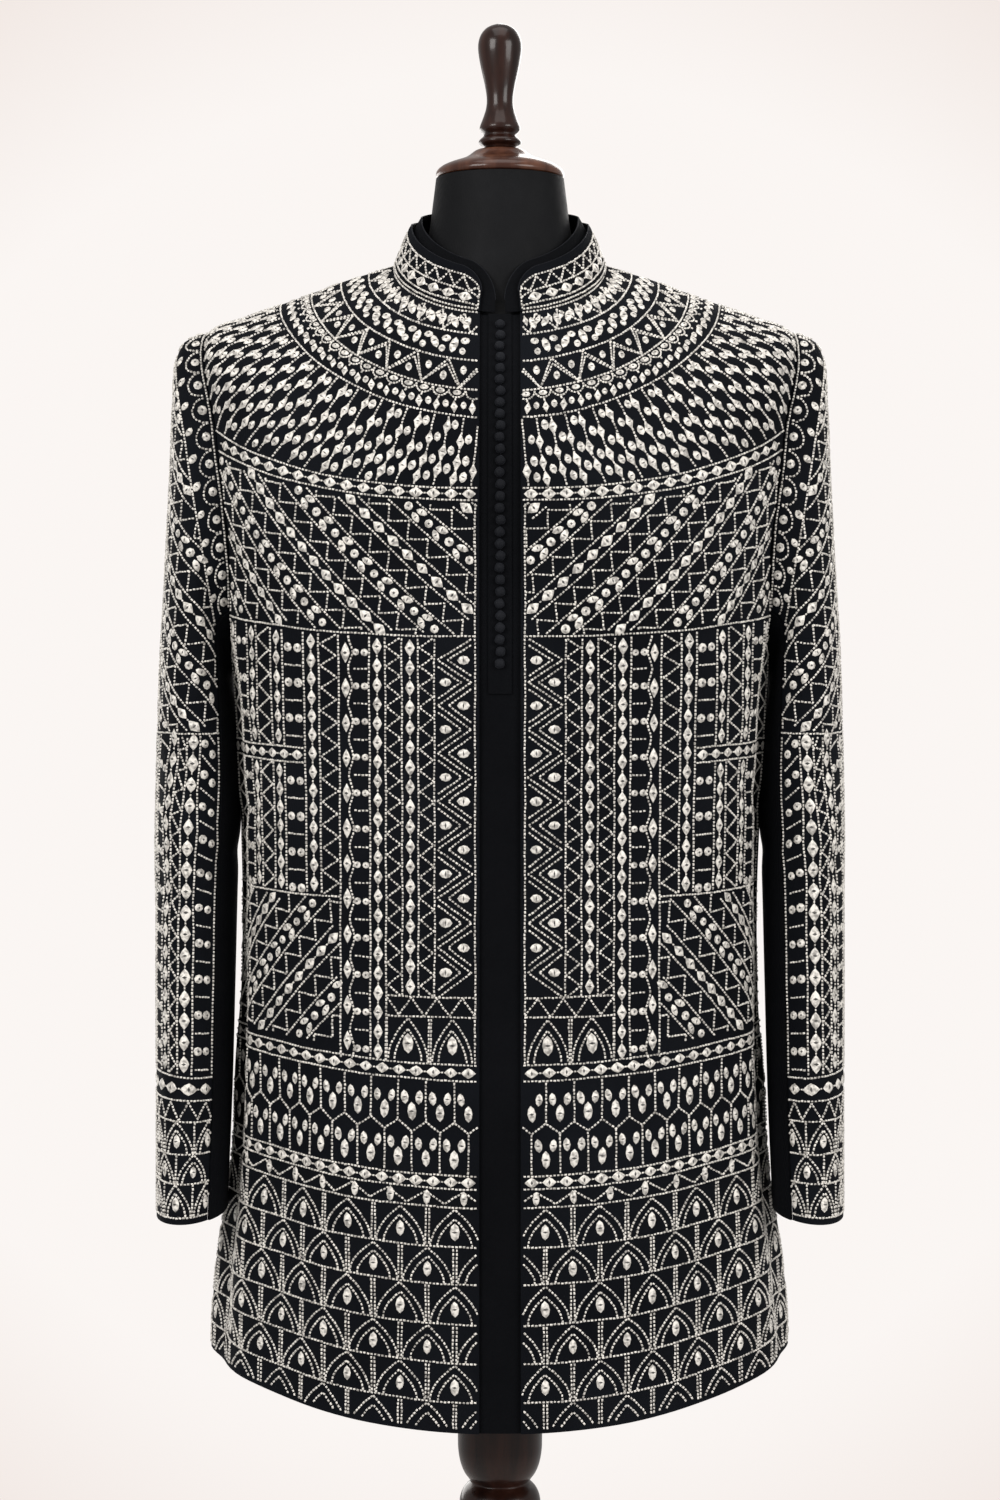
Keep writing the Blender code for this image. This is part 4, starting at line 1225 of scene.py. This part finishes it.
def yoke_beads(work):
    around = np.linspace(0.0, 2.0, 90)
    for ring in range(5):
        work.run(yoke_place(ring, around))
    # next to the collar: narrow drops that lean in turn, over a fine zigzag
    for k, share in enumerate(shares(NECK_DROPS)):
        lean = LEAN if k % 2 else -LEAN
        work.motif("drop", *yoke_place(0.52, share)[0], 90 + lean, *NECK_DROP)
        work.motif("taper", *yoke_place(0.40, share + 1 / NECK_DROPS)[0], 90 - lean, *NECK_TAPER)
    peaks = np.append(shares(NECK_DROPS) - 1 / NECK_DROPS, 2.0)
    work.run(yoke_place(np.where(np.arange(len(peaks)) % 2 == 0, 0.96, 0.12), peaks))
    # second ring: tall drops, and between them a round over a small drop
    for k, share in enumerate(shares(TALL_DROPS)):
        if k % 2:
            work.motif("round", *yoke_place(1.30, share)[0], 0, *PAIR_ROUND)
            work.motif("drop", *yoke_place(1.70, share)[0], 90, *PAIR_DROP)
        else:
            lean = LEAN if k % 4 else -LEAN
            work.motif("drop", *yoke_place(1.50, share)[0], 90 + lean, *TALL_DROP)
    # third ring: triangles in double line with a drop in each
    peaks = np.linspace(0.0, 2.0, TRIANGLE_PEAKS)
    for low, high in ((2.04, 2.94), (2.22, 3.12)):
        tops = np.where(np.arange(len(peaks)) % 2 == 0, high, low)
        work.run(yoke_place(np.minimum(tops, 2.97), peaks))
    for k, share in enumerate(peaks):
        ring = 2.62 if k % 2 else 2.36
        work.motif("drop", *yoke_place(ring, share)[0], 90, *TRIANGLE_DROP)
    # fourth ring: scallops of half drops, and stems with a tapered drop
    arc = np.linspace(0, math.pi, 9)
    for share in shares(SCALLOPS):
        scallop = yoke_place(3.06 + 0.30 * np.sin(arc), share - SCALLOP_HALF_SHARE * np.cos(arc))
        work.run(scallop, 0.0021, 0.9)
        work.motif("round", *yoke_place(3.16, share)[0], 0, *SCALLOP_ROUND)
        work.run(yoke_place(np.array([3.36, 3.52]), share + np.zeros(2)))
        work.motif("taper", *yoke_place(3.70, share)[0], 90, *STEM_TAPER)
        work.motif("drop", *yoke_place(3.62, share + SCALLOP_HALF_SHARE)[0], 90, *STEM_DROP)


def string_arc(share, t):
    """A string keeps the slant it has on the yoke all the way down."""
    high = np.minimum(t, SHOULDER)
    past = (t - high) * STRING_SLANT
    side, whole = read_edge(SIDE_ARCS, high), read_edge(WHOLE_ARCS, high)
    behind = (2 - share) * (whole - side + past)
    return np.where(share <= 1, share * (side + past), read_edge(WHOLE_ARCS, t) - behind)


def string_angle(share, t):
    """Direction of a string on the cloth, in degrees from s."""
    ahead = string_arc(share, t + 0.004) - string_arc(share, t - 0.004)
    return math.degrees(math.atan2(0.008, float(ahead)))


def string_row(work, shape, share, first, low, size):
    for level in np.arange(first, low, STRING_PITCH):
        work.motif(shape, string_arc(share, level), level, string_angle(share, level), *size)


def string_beads(work):
    """Strings that fan out from the last yoke ring to the chest band and the armhole."""
    low = CHEST_BAND[0] - 0.002
    for k, share in enumerate(shares(STRINGS)):
        top = float(yoke_level(4.0, share))
        t = np.linspace(top + 0.001, low, 16)
        work.run(np.column_stack([string_arc(share, t), t]))
        first, first_beside = (0.009, 0.0170) if k % 2 else (0.0196, 0.0065)
        string_row(work, "taper", share, top + first, low - 0.005, STRING_TAPER)
        string_row(work, "drop", share + 1 / STRINGS, top + first_beside, low - 0.004, STRING_DROP)


def band(work, path, half_width, pitch=0.0128, length=0.0110, width=0.0080):
    """Two bead lines with a chain of lozenges between them."""
    path = np.asarray(path, float)
    way = units(np.gradient(path, axis=0))
    side = np.column_stack([-way[:, 1], way[:, 0]])
    work.run(path + side * half_width)
    work.run(path - side * half_width)
    work.chain(path, pitch, length, width)


def column(s, top, low):
    return [(s, top), (s, low)]


def level_line(t, start, end):
    s = np.linspace(start, end, 80)
    return np.column_stack([s, lower_level(t, s)])


def lower_level(t, s):
    """The lower bands ride a little higher at the side than in front, and this fades to the hem."""
    lift = 0.0065 * eased(np.asarray(s, float) / 0.24)
    return t - lift * np.interp(t, (0.56, 0.62, 0.74, 0.877), (0.0, 1.0, 0.6, 0.0))


def ladder(work, left, right, top, low, pitch=LADDER_PITCH):
    """Two rounds side by side, over and over, with a line of beads across between each two pairs."""
    middle, reach = (left + right) / 2, (right - left) / 4
    for t in np.arange(top + pitch / 2, low - 0.002, pitch):
        for s in (middle - reach, middle + reach):
            work.motif("round", s, t, 0, reach * 1.75, reach * 1.6)
    for t in np.arange(top + pitch, low - 0.002, pitch):
        work.run([(left + 0.001, t), (right - 0.001, t)])


def slanted(work, box, way, shift=0.0):
    """Straps laid aslant over a box: towards centre front as they go down where way is -1."""
    left, right, top, low = box
    work.box = (left - 0.001, right + 0.001, top + 0.0018, low - 0.0018)
    along = np.array([way, 1.0]) * math.sqrt(0.5)
    across = np.array([-way, 1.0]) * math.sqrt(0.5)
    corner = np.array([left if way == -1 else right, top])
    steps = np.arange(-0.40, 0.40, 0.004)[:, None]
    farthest = (right - left + low - top) * math.sqrt(0.5)
    for n in range(-1, int(farthest / STRAP_PERIOD) + 1):
        for kind, offset in STRAPS:
            path = corner + across * (n * STRAP_PERIOD + offset + shift) + along * steps
            margin = 0.001 if kind in ("line", "band") else 0.006
            inside = ((path[:, 0] > left - margin) & (path[:, 0] < right + margin)
                      & (path[:, 1] > top - margin) & (path[:, 1] < low + margin))
            if inside.sum() > 2:
                strap(work, kind, path[inside])
    work.box = None


def strap(work, kind, path):
    if kind == "band":
        band(work, path, 0.0062, 0.0138, 0.0120, 0.0080)
    elif kind == "line":
        work.run(path)
    elif kind == "zigzag":
        work.zigzag(path, 0.0115, 0.0180)
    else:
        slant_drops(work, path)


def slant_drops(work, path):
    """Drops in pairs that lean apart, with a round after each pair."""
    lengths = path_lengths(path)
    way = units(path[-1] - path[0])
    side = np.array([-way[1], way[0]])
    angle = math.degrees(math.atan2(way[1], way[0]))
    for k, at in enumerate(np.arange(0.004, lengths[-1], 0.0104)):
        s, t = path[0] + way * at
        if k % 2:
            work.motif("round", s, t, 0, *STRAP_ROUND)
            continue
        for lean in (-1, 1):
            place = np.array([s, t]) + side * lean * 0.0033
            work.motif("drop", *place, angle + lean * 22, *STRAP_DROP)


def arch(work, s, top, base, width, level=None):
    """A pointed arch in double line, with a drop standing in it."""
    level = level or lower_level
    rise = base - top
    share = np.linspace(0, 1, 12)
    for half, high in ((width * 0.45, rise * 0.97), (width * 0.31, rise * 0.73)):
        for way in (-1, 1):
            at = s + way * half * (1 - share ** 1.9)
            work.run(np.column_stack([at, level(base - high * share, at)]))
    work.motif("drop", s, level(base - rise * 0.39, s), 90, rise * 0.47, rise * 0.26)


def hem_lattice(work, start, first, end):
    for row, (top, base) in enumerate(zip(ARCH_ROWS, ARCH_ROWS[1:])):
        work.run(level_line(base, start, end))
        for s in np.arange(first + (row % 2 - 1) * ARCH_PITCH / 2, end, ARCH_PITCH):
            arch(work, s, top + 0.0008, base, ARCH_PITCH)
            for stem in (-0.0012, 0.0012):
                at = s + ARCH_PITCH / 2 + stem
                work.run([(at, lower_level(top + 0.001, at)), (at, lower_level(base - 0.001, at))])


def honeycomb(work, first, end):
    """Hexagons in line, with three drops in each: two side by side over a third."""
    top, peak, valley, low = LOWER_BANDS[0][1], 0.6668, 0.6742, LOWER_BANDS[1][0]
    places = np.arange(first - HONEY_PITCH, end, HONEY_PITCH / 2)
    levels = np.where(np.arange(len(places)) % 2 == 0, peak, valley)
    work.run(np.column_stack([places, lower_level(levels, places)]))
    for k, s in enumerate(places):
        upper = k % 2 == 0
        ends = (top + 0.001, peak) if upper else (valley, low - 0.001)
        work.run([(s, lower_level(ends[0], s)), (s, lower_level(ends[1], s))])
        middle = 0.6865 if upper else 0.6545
        work.motif("drop", s, lower_level(middle + 0.0058, s), 90, *HONEY_LOWER)
        for way in (-1, 1):
            level = lower_level(middle - 0.0040, s)
            work.motif("drop", s + way * 0.0054, level, 90 + way * 8, *HONEY_UPPER)


def lower_bands(work, start, first, end):
    """All the bands below the hip. They start at one place and their motifs are counted from another."""
    for lines in LOWER_BANDS:
        middle, half = sum(lines) / 2, (lines[1] - lines[0]) / 2
        band(work, level_line(middle, start, end), half)
    honeycomb(work, first, end)
    work.zigzag(level_line(WEDGE_LEVEL, first, end), 0.0085, WEDGE_PITCH)
    for s in np.arange(first + WEDGE_PITCH / 2, end, WEDGE_PITCH):
        work.motif("drop", s, lower_level(WEDGE_LEVEL, s), 90, *WEDGE_DROP)
    work.run(level_line(ARCH_ROWS[0], start, end))
    hem_lattice(work, start, first, end)


def column_field(work):
    """Straight columns down the middle of each front."""
    top, low, short, side_low = COLUMNS_TOP, COLUMNS_LOW, INNER_COLUMNS_LOW, SIDE_COLUMNS_LOW
    centre_vine(work, top, short)
    work.run(column(0.0475, top, short))
    work.zigzag(column(0.0532, top, short), 0.0100, 0.0150)
    band(work, np.array(column(0.0653, top, short)), 0.0060, *COLUMN_CHAIN)
    work.zigzag(column(0.0775, top, short), 0.0100, 0.0150)
    band(work, np.array(column(0.0895, top, low)), 0.0060, *COLUMN_CHAIN)
    ladder(work, 0.0955, 0.1090, top, low)
    work.chain(column(0.1135, top, low), LADDER_PITCH, 0.0150, 0.0070, spacer=False)
    wavy_line(work, 0.1135, top, low)
    work.run(column(0.1190, top, low))
    work.zigzag(column(0.1270, top, side_low), 0.0130, 0.0160)
    band(work, np.array(column(0.1413, top, side_low)), 0.0064, 0.0142, 0.0126, 0.0078)
    for upper, lower in ((top, WAIST_BAND[0] - 0.0006), (WAIST_BAND[1] + 0.0006, side_low)):
        ladder(work, 0.1485, 0.1660, upper, lower)
        work.run(column(0.1670, upper, lower))
        work.chain(column(0.1730, upper, lower), *COLUMN_CHAIN)
        work.run(column(0.1790, upper, lower))
        work.zigzag(column(0.1870, upper, lower), 0.0130, 0.0160)
        band(work, np.array(column(0.2010, upper, lower)), 0.0060, *COLUMN_CHAIN)
        ladder(work, 0.2075, 0.2240, upper, lower)
        band(work, np.array(column(0.2310, upper, lower)), 0.0060, *COLUMN_CHAIN)
        work.zigzag(column(0.2460, upper, lower), 0.0150, 0.0160)
        work.run(column(0.2560, upper, lower))
    middle = sum(WAIST_BAND) / 2
    band(work, np.array([(0.149, middle), (0.262, middle)]), (WAIST_BAND[1] - WAIST_BAND[0]) / 2)


def wavy_line(work, s, top, low):
    """A line beside a chain that bows out round each of its lozenges."""
    t = np.linspace(top, low, 240)
    bow = 0.0036 + 0.0016 * np.cos((t - top) / LADDER_PITCH * 2 * math.pi + math.pi)
    work.run(np.column_stack([s - bow, t]))


def centre_vine(work, top, low):
    """Down the front edge, triangles in double line, from either side in turn, with a drop in each."""
    near, far = VINE_EDGES
    work.run(column(0.0180, 0.1985, COLUMNS_LOW))
    bays = int((low - top) / 0.0168)
    pitch = (low - top) / bays
    peaks = top + np.arange(bays + 1) * pitch
    sides = np.where(np.arange(bays + 1) % 2 == 0, near, far)
    work.run(np.column_stack([sides, peaks]))
    for k, t in enumerate(peaks[1:-1], 1):
        edge, way = (far, -1) if k % 2 == 0 else (near, 1)
        work.run([(edge, t - pitch * 0.72), (edge + way * 0.0170, t), (edge, t + pitch * 0.72)])
        work.motif("drop", edge + way * 0.0058, t, 0, *VINE_DROP)


def centre_block(work):
    """A zigzag band over a row of arches, at the foot of the inner columns."""
    lines = (INNER_COLUMNS_LOW, 0.5925)
    for t in lines:
        work.run([(0.018, t), (0.0830, t)])
    work.zigzag([(0.018, sum(lines) / 2), (0.083, sum(lines) / 2)], 0.0125, 0.0160)
    for s in (0.0345, 0.0670):
        arch(work, s, 0.5935, 0.6250, 0.0325)
    for s in (0.0502, 0.0518, 0.0830):
        work.run(column(s, 0.5935, COLUMNS_LOW))


def body_beads(field, seed):
    work = Beadwork(field, seed)
    yoke_beads(work)
    string_beads(work)
    middle = sum(CHEST_BAND) / 2
    half = (CHEST_BAND[1] - CHEST_BAND[0]) / 2
    band(work, np.array([(0.016, middle), (0.62, middle)]), half)
    slanted(work, (0.0180, 0.2640, 0.1965, 0.3110), -1, 0.0090)
    work.run([(0.018, 0.3110), (0.280, 0.3110)])
    column_field(work)
    slanted(work, (0.1200, 0.2760, 0.5095, 0.6170), 1, 0.0100)
    work.run([(0.119, 0.5095), (0.272, 0.5095)])
    centre_block(work)
    lower_bands(work, 0.0165, 0.0125, 0.33)
    return work


def back_skirt_beads(field, seed):
    """The bands of the front carried round the back, laid out from centre back."""
    s = np.linspace(-0.012, 0.330, 172)
    across, down = np.meshgrid(s, field.t)
    back = Field(s, field.t, field.at(read_edge(WHOLE_ARCS, down) - across, down))
    back.normals = -back.normals
    work = Beadwork(back, seed)
    lower_bands(work, 0.0, 0.0, 0.32)
    return work


def front_keep(s, t, over_s, over_t):
    inside = s - over_s > read_edge(FRONT_STARTS, t) + 0.0008
    inside &= s + over_s < read_edge(FRONT_ENDS, t) - 0.0010
    return inside & (t - over_t > 0.0003) & (t + over_t < HEM - 0.0024)


def back_keep(middle):
    """Beads on centre back itself are kept on one of the two sides, where middle is below 0."""
    def keep(s, t, over_s, over_t):
        inside = s - over_s > read_edge(BACK_STARTS, t) + 0.0010
        inside &= s < read_edge(WHOLE_ARCS, t) - middle
        return inside & (t - over_t > 0.0003) & (t < CHEST_BAND[1] + 0.003)
    return keep


def back_skirt_keep(middle):
    def keep(s, t, over_s, over_t):
        side = read_edge(WHOLE_ARCS, t) - read_edge(BACK_STARTS, t)
        return (s > middle) & (s + over_s < side - 0.0010) & (t + over_t < HEM - 0.0024)
    return keep


# Layout of the beadwork on a sleeve

def sleeve_beads(field, seed):
    work = Beadwork(field, seed)
    full = SLEEVE_GIRTH
    # scallops along the armhole
    arc = np.linspace(0, math.pi, 8)
    for s in np.arange(0.004, full, 0.0092):
        work.run(np.column_stack([s - 0.0044 * np.cos(arc), 0.0030 + 0.0090 * np.sin(arc)]))
        work.motif("round", s, 0.0055, 0, 0.0076, 0.0070)
        work.motif("drop", s + 0.0046, 0.0170, 90, 0.0080, 0.0054)
    work.run([(0.0, 0.0015), (full, 0.0015)])
    work.run([(0.0, 0.0235), (full, 0.0235)])
    top, low = 0.1100, 0.4385
    half_columns = [("line", 0.0012), ("ladder", 0.0045, 0.0215), ("line", 0.0225), ("chain", 0.0290),
                    ("line", 0.0350), ("zigzag", 0.0400), ("line", 0.0450), ("chain", 0.0510),
                    ("line", 0.0570), ("ladder", 0.0570, 0.0735), ("line", 0.0740), ("chain", 0.0800),
                    ("line", 0.0860), ("zigzag", 0.0935), ("line", 0.1010)]
    for kind, *where in half_columns:
        for flip in (False, True):
            places = [full - s for s in where][::-1] if flip else where
            if kind == "line":
                work.run(column(places[0], top, low))
            elif kind == "chain":
                work.chain(column(places[0], top, low), *SLEEVE_CHAIN)
            elif kind == "zigzag":
                work.zigzag(column(places[0], top, low), 0.0080, 0.0150)
            else:
                ladder(work, *places, top, low, 0.0270)
    work.chain(column(full / 2, top, low), *SLEEVE_CHAIN)
    band(work, np.array([(0.0, 0.4485), (full, 0.4485)]), 0.0085, 0.0150, 0.0125, 0.0092)
    work.zigzag([(0.0, 0.4645), (full, 0.4645)], 0.0120, 0.0160)
    rows = (0.4720, 0.4956, 0.5165, 0.5405)
    work.run([(0.0, rows[0]), (full, rows[0])])
    pitch = full / 7
    for row, (upper, base) in enumerate(zip(rows, rows[1:])):
        work.run([(0.0, base), (full, base)])
        for s in np.arange((row % 2) * pitch / 2 + 0.004, full, pitch):
            arch(work, s, upper, base, pitch, as_it_is)
            work.run([(s + pitch / 2, upper), (s + pitch / 2, base)])
    return work


def as_it_is(t, s):
    return t + 0.0 * np.asarray(s, float)


def cap_beads(field, seed):
    """Straps that run down and away from the sleeve's outermost line."""
    work = Beadwork(field, seed)
    low = CAP_TOP - CAP_FOOT
    slanted(work, (-0.128, 0.0, 0.0, low), -1, 0.0060)
    slanted(work, (0.0, 0.128, 0.0, low), 1, 0.0060)
    work.run([(-0.128, low), (0.128, low)])
    return work


def sleeve_keep(field):
    def keep(s, t, over_s, over_t):
        inside = (s - over_s > 0.0004) & (s + over_s < SLEEVE_GIRTH - 0.0004)
        inside &= (t - over_t > 0.0006) & (t + over_t < CUFF - 0.0024)
        return inside & ((t < CAP_EDGE) | (field.at(s, t)[..., 2] < CAP_FOOT - 0.0016))
    return keep


def cap_keep(cap):
    def keep(s, t, over_s, over_t):
        left, right = (np.interp(t, cap.t, cap.reaches[:, k]) for k in range(2))
        inside = (s - over_s > left + 0.0006) & (s + over_s < right - 0.0006)
        inside &= (t >= 0) & (t < CAP_TOP - CAP_FOOT + 0.001)
        return inside & (cap.read(cap.places, s, t)[..., 0] > CAP_EDGE + 0.0006)
    return keep


# Layout of the beadwork on the collar

def collar_beads(field, collar, seed):
    work = Beadwork(field, seed)
    height = collar.height
    start, end = field.s[0] + 0.0016, BODY.whole_arc(NECK)
    s = np.linspace(start, end, 120)
    outline, middle = 0.80 * height, 0.47 * height
    work.run([(start, 0.04 * height), (start, outline)])
    for share in (0.055, 0.165):
        work.run(np.column_stack([s, np.full(120, share * height)]))
    work.run(np.column_stack([s, np.full(120, outline)]))
    work.run(np.column_stack([s, np.full(120, middle)]))
    work.chain(np.column_stack([s[2:], np.full(118, 0.318 * height)]), 0.0146, 0.0124, 0.0088)
    work.zigzag(np.column_stack([s, np.full(120, (outline + middle) / 2)]), 0.0090, 0.0140)
    return work


def collar_keep(s, t, over_s, over_t):
    return s < BODY.whole_arc(NECK) - 0.0002


# Put together

def put(piece, slot, *nodes):
    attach(piece, "root")
    if nodes:
        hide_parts(*nodes)
    return piece


def hang(piece):
    """Takes the flat area, which shell put on a piece of cloth, off it again."""
    del piece["flat_area"]


def make_jacket():
    for side in SIDES:
        name, flip = side.name, side.flip
        arcs = row_arcs(FRONT_STARTS, FRONT_ENDS, 32)
        front = body_panel(f"jacket_front_{name}", side.body, arcs, flip)
        put(front, "worked_cloth", f"front_{name}")
        hang(front)
        beads = body_beads(side.body, side.front_seed)
        put(bead_piece(f"beads_front_{name}", [(beads, front_keep)], flip), "beads")
        skirt = back_skirt_beads(side.body, side.skirt_seed)
        works = [(beads, back_keep(side.middle)), (skirt, back_skirt_keep(side.middle))]
        put(bead_piece(f"beads_back_{name}", works, flip), "beads")
        top = sleeve_field(*SLEEVE_TURNS, side.sleeve_creases)
        s, t = np.meshgrid(np.linspace(0, SLEEVE_GIRTH, 61), np.linspace(0, CUFF, 110))
        grids = field_grids(top, s, t, (0.0, CLOTH))
        piece = shell(f"jacket_sleeve_top_{name}", *grids, [WORKED, PLAIN], flip)
        put(piece, "worked_cloth", f"sleeve_top_{name}")
        hang(piece)
        cap = cap_field(top)
        works = [(sleeve_beads(top, side.sleeve_seed), sleeve_keep(top)),
                 (cap_beads(cap, side.cap_seed), cap_keep(cap))]
        put(bead_piece(f"beads_sleeve_{name}", works, flip), "beads")
        under = sleeve_field(*UNDER_TURNS, UNDER_CREASES)
        s, t = np.meshgrid(np.linspace(0, SLEEVE_GIRTH, 25), np.linspace(0, CUFF, 100))
        grids = [under.at(s, t) + under.normal(s, t) * depth for depth in (0.0, CLOTH)]
        piece = shell(f"jacket_sleeve_under_{name}", *grids, [PLAIN, PLAIN], flip)
        put(piece, "plain_cloth", f"sleeve_under_{name}")
        hang(piece)
    back = back_panel()
    put(back, "worked_cloth", "back")
    hang(back)


def make_middle():
    sunk = CLOTH + LAYER_GAP
    panel = centre_strip("jacket_inner_front", PANEL_HALF_WIDTH, sunk, sunk + INNER_CLOTH, HEM)
    put(panel, "plain_cloth", "centre_panel")
    hang(panel)
    end = BODY.level_at_front_height(PLACKET_END_HEIGHT)
    under = sunk - SEAM_GAP
    placket = centre_strip("jacket_placket", PLACKET_HALF_WIDTH,
                           under - PLACKET_THICKNESS, under, end, 4)
    put(placket, "plain_cloth", "button_placket")
    hang(placket)
    put(buttons_piece(), "button_thread", *[f"button_{n:02d}" for n in range(1, BUTTON_COUNT + 1)])


def make_collars():
    for collar, flat, slot, materials in zip(
            COLLARS, ((0.480, 0.033), (0.502, 0.0385)), ("worked_cloth", "plain_cloth"),
            ([WORKED, PLAIN], [PLAIN, PLAIN])):
        grids = [collar_rows(collar, depth, 90, 12) for depth in (0.0, collar.cloth)]
        middle = (grids[0][-1] + grids[1][-1]) / 2
        for grid in grids:
            grid[-1] = grid[-1] * 0.4 + middle * 0.6
        put(piping_piece(f"piping_{collar.name}", middle), "button_thread")
        piece = shell(f"jacket_{collar.name}", grids[0][::-1], grids[1][::-1], materials)
        put(piece, slot, collar.name)
        hang(piece)
    collar = COLLARS[0]
    field = collar_field(collar)
    works = collar_beads(field, collar, COLLAR_SEED)
    for side in SIDES:
        put(bead_piece(f"beads_collar_{side.name}", [(works, collar_keep)], side.flip), "beads")


def make_form_and_stand():
    put(form_piece(), "form_cover", "form_body")
    put(turned_piece("turned_finial", FINIAL, DARK_WOOD), "dark_wood", "finial")
    put(turned_piece("turned_cap", NECK_CAP, CAP_WOOD), "cap_wood", "neck_cap")
    put(turned_piece("turned_column", COLUMN, DARK_WOOD), "dark_wood", "stand_column")
    put(turned_piece("turned_base", BASE, DARK_WOOD), "dark_wood", "stand_base")


# The studio. A lamp is given by name, place, side in metres and power in watts.

LIT_MIDDLE = (0.0, 0.0, 1.05)
LAMPS = (
    ("soft_key", (-1.9, -2.3, 2.3), 1.5, 62.0),
    ("soft_fill", (2.1, -2.0, 1.9), 1.5, 48.0),
    ("soft_top", (0.0, -0.6, 3.3), 1.8, 19.0),
    ("soft_back", (0.8, 2.4, 2.2), 1.6, 34.0),
    ("soft_low", (-1.0, 1.9, 1.0), 1.4, 16.0),
)


def mix_shaders(tree, share, first, second, output):
    mix = tree.nodes.new("ShaderNodeMixShader")
    for source, socket in ((share, mix.inputs["Fac"]), (first, mix.inputs[1]), (second, mix.inputs[2])):
        tree.links.new(source, socket)
    tree.links.new(mix.outputs["Shader"], tree.nodes[output].inputs["Surface"])


def linked(name, data, place):
    holder = bpy.data.objects.new(name, data)
    bpy.context.scene.collection.objects.link(holder)
    holder.location = place
    return holder


def make_floor():
    material, tree, shader = shader_of("floor")
    cloudy = noise(tree, object_place(tree), 2.0)
    tree.links.new(ramp(tree, cloudy, (0.500, 0.482, 0.470), (0.525, 0.506, 0.494)),
                   shader.inputs["Base Color"])
    shader.inputs["Roughness"].default_value = 0.9
    away = node(tree, "ShaderNodeVectorMath", operation="LENGTH")
    tree.links.new(object_place(tree), away.inputs[0])
    edge = node(tree, "ShaderNodeMapRange")
    edge.inputs["From Min"].default_value = 0.70
    edge.inputs["From Max"].default_value = 1.45
    tree.links.new(away.outputs["Value"], edge.inputs["Value"])
    clear = tree.nodes.new("ShaderNodeBsdfTransparent")
    mix_shaders(tree, edge.outputs["Result"], shader.outputs["BSDF"],
                clear.outputs["BSDF"], "Material Output")
    angle = np.linspace(0, 2 * math.pi, 64, endpoint=False)
    rings = [np.column_stack([r * np.cos(angle), r * np.sin(angle), np.full(64, -0.0005)])
             for r in (0.0, 0.4, 0.8, 1.2, 1.5)]
    floor = ring_piece("studio_floor", np.array(rings), [material], 60)


def make_backdrop():
    world = bpy.data.worlds.new("studio")
    bpy.context.scene.world = world
    world.use_nodes = True
    tree = world.node_tree
    seen, light = tree.nodes["Background"], tree.nodes.new("ShaderNodeBackground")
    # the wall behind is painted brightest in the middle, darker towards the edges: a painted pool of
    # light on the backdrop
    towards = node(tree, "ShaderNodeVectorMath", operation="DOT_PRODUCT")
    tree.links.new(node(tree, "ShaderNodeTexCoord").outputs["Generated"], towards.inputs[0])
    towards.inputs[1].default_value = Vector((0.0, 1.0, -0.0385)).normalized()
    wall = ramp(tree, towards.outputs["Value"],
                (0.875, 0.797, 0.759), (0.962, 0.921, 0.897), (0.950, 0.972))
    tree.links.new(wall, seen.inputs["Color"])
    seen.inputs["Strength"].default_value = 1.0
    light.inputs["Color"].default_value = (1.0, 0.985, 0.97, 1.0)
    light.inputs["Strength"].default_value = 0.45
    path = tree.nodes.new("ShaderNodeLightPath")
    mix_shaders(tree, path.outputs["Is Camera Ray"], light.outputs["Background"],
                seen.outputs["Background"], "World Output")


def make_lights():
    for name, place, size, power in LAMPS:
        lamp = bpy.data.lights.new(name, "AREA")
        lamp.shape, lamp.size, lamp.energy = "SQUARE", size, power
        lamp.color = (1.0, 0.975, 0.95)
        holder = linked(name, lamp, place)
        aim = Vector(LIT_MIDDLE) - Vector(place)
        holder.rotation_mode = "QUATERNION"
        holder.rotation_quaternion = aim.to_track_quat("-Z", "Y")


def make_camera():
    camera = bpy.data.cameras.new("camera")
    camera.lens, camera.sensor_width = 68.64, 36.0
    camera.shift_y = -110 / 1500
    camera.clip_start, camera.clip_end = 0.05, 60.0
    holder = linked("camera", camera, (0.0, -2.2, 1.17))
    holder.rotation_euler = (math.radians(90), 0.0, 0.0)
    bpy.context.scene.camera = holder
    bpy.context.scene.view_settings.view_transform = "Standard"


make_jacket()
make_middle()
make_collars()
make_form_and_stand()
make_floor()
make_backdrop()
make_lights()
make_camera()
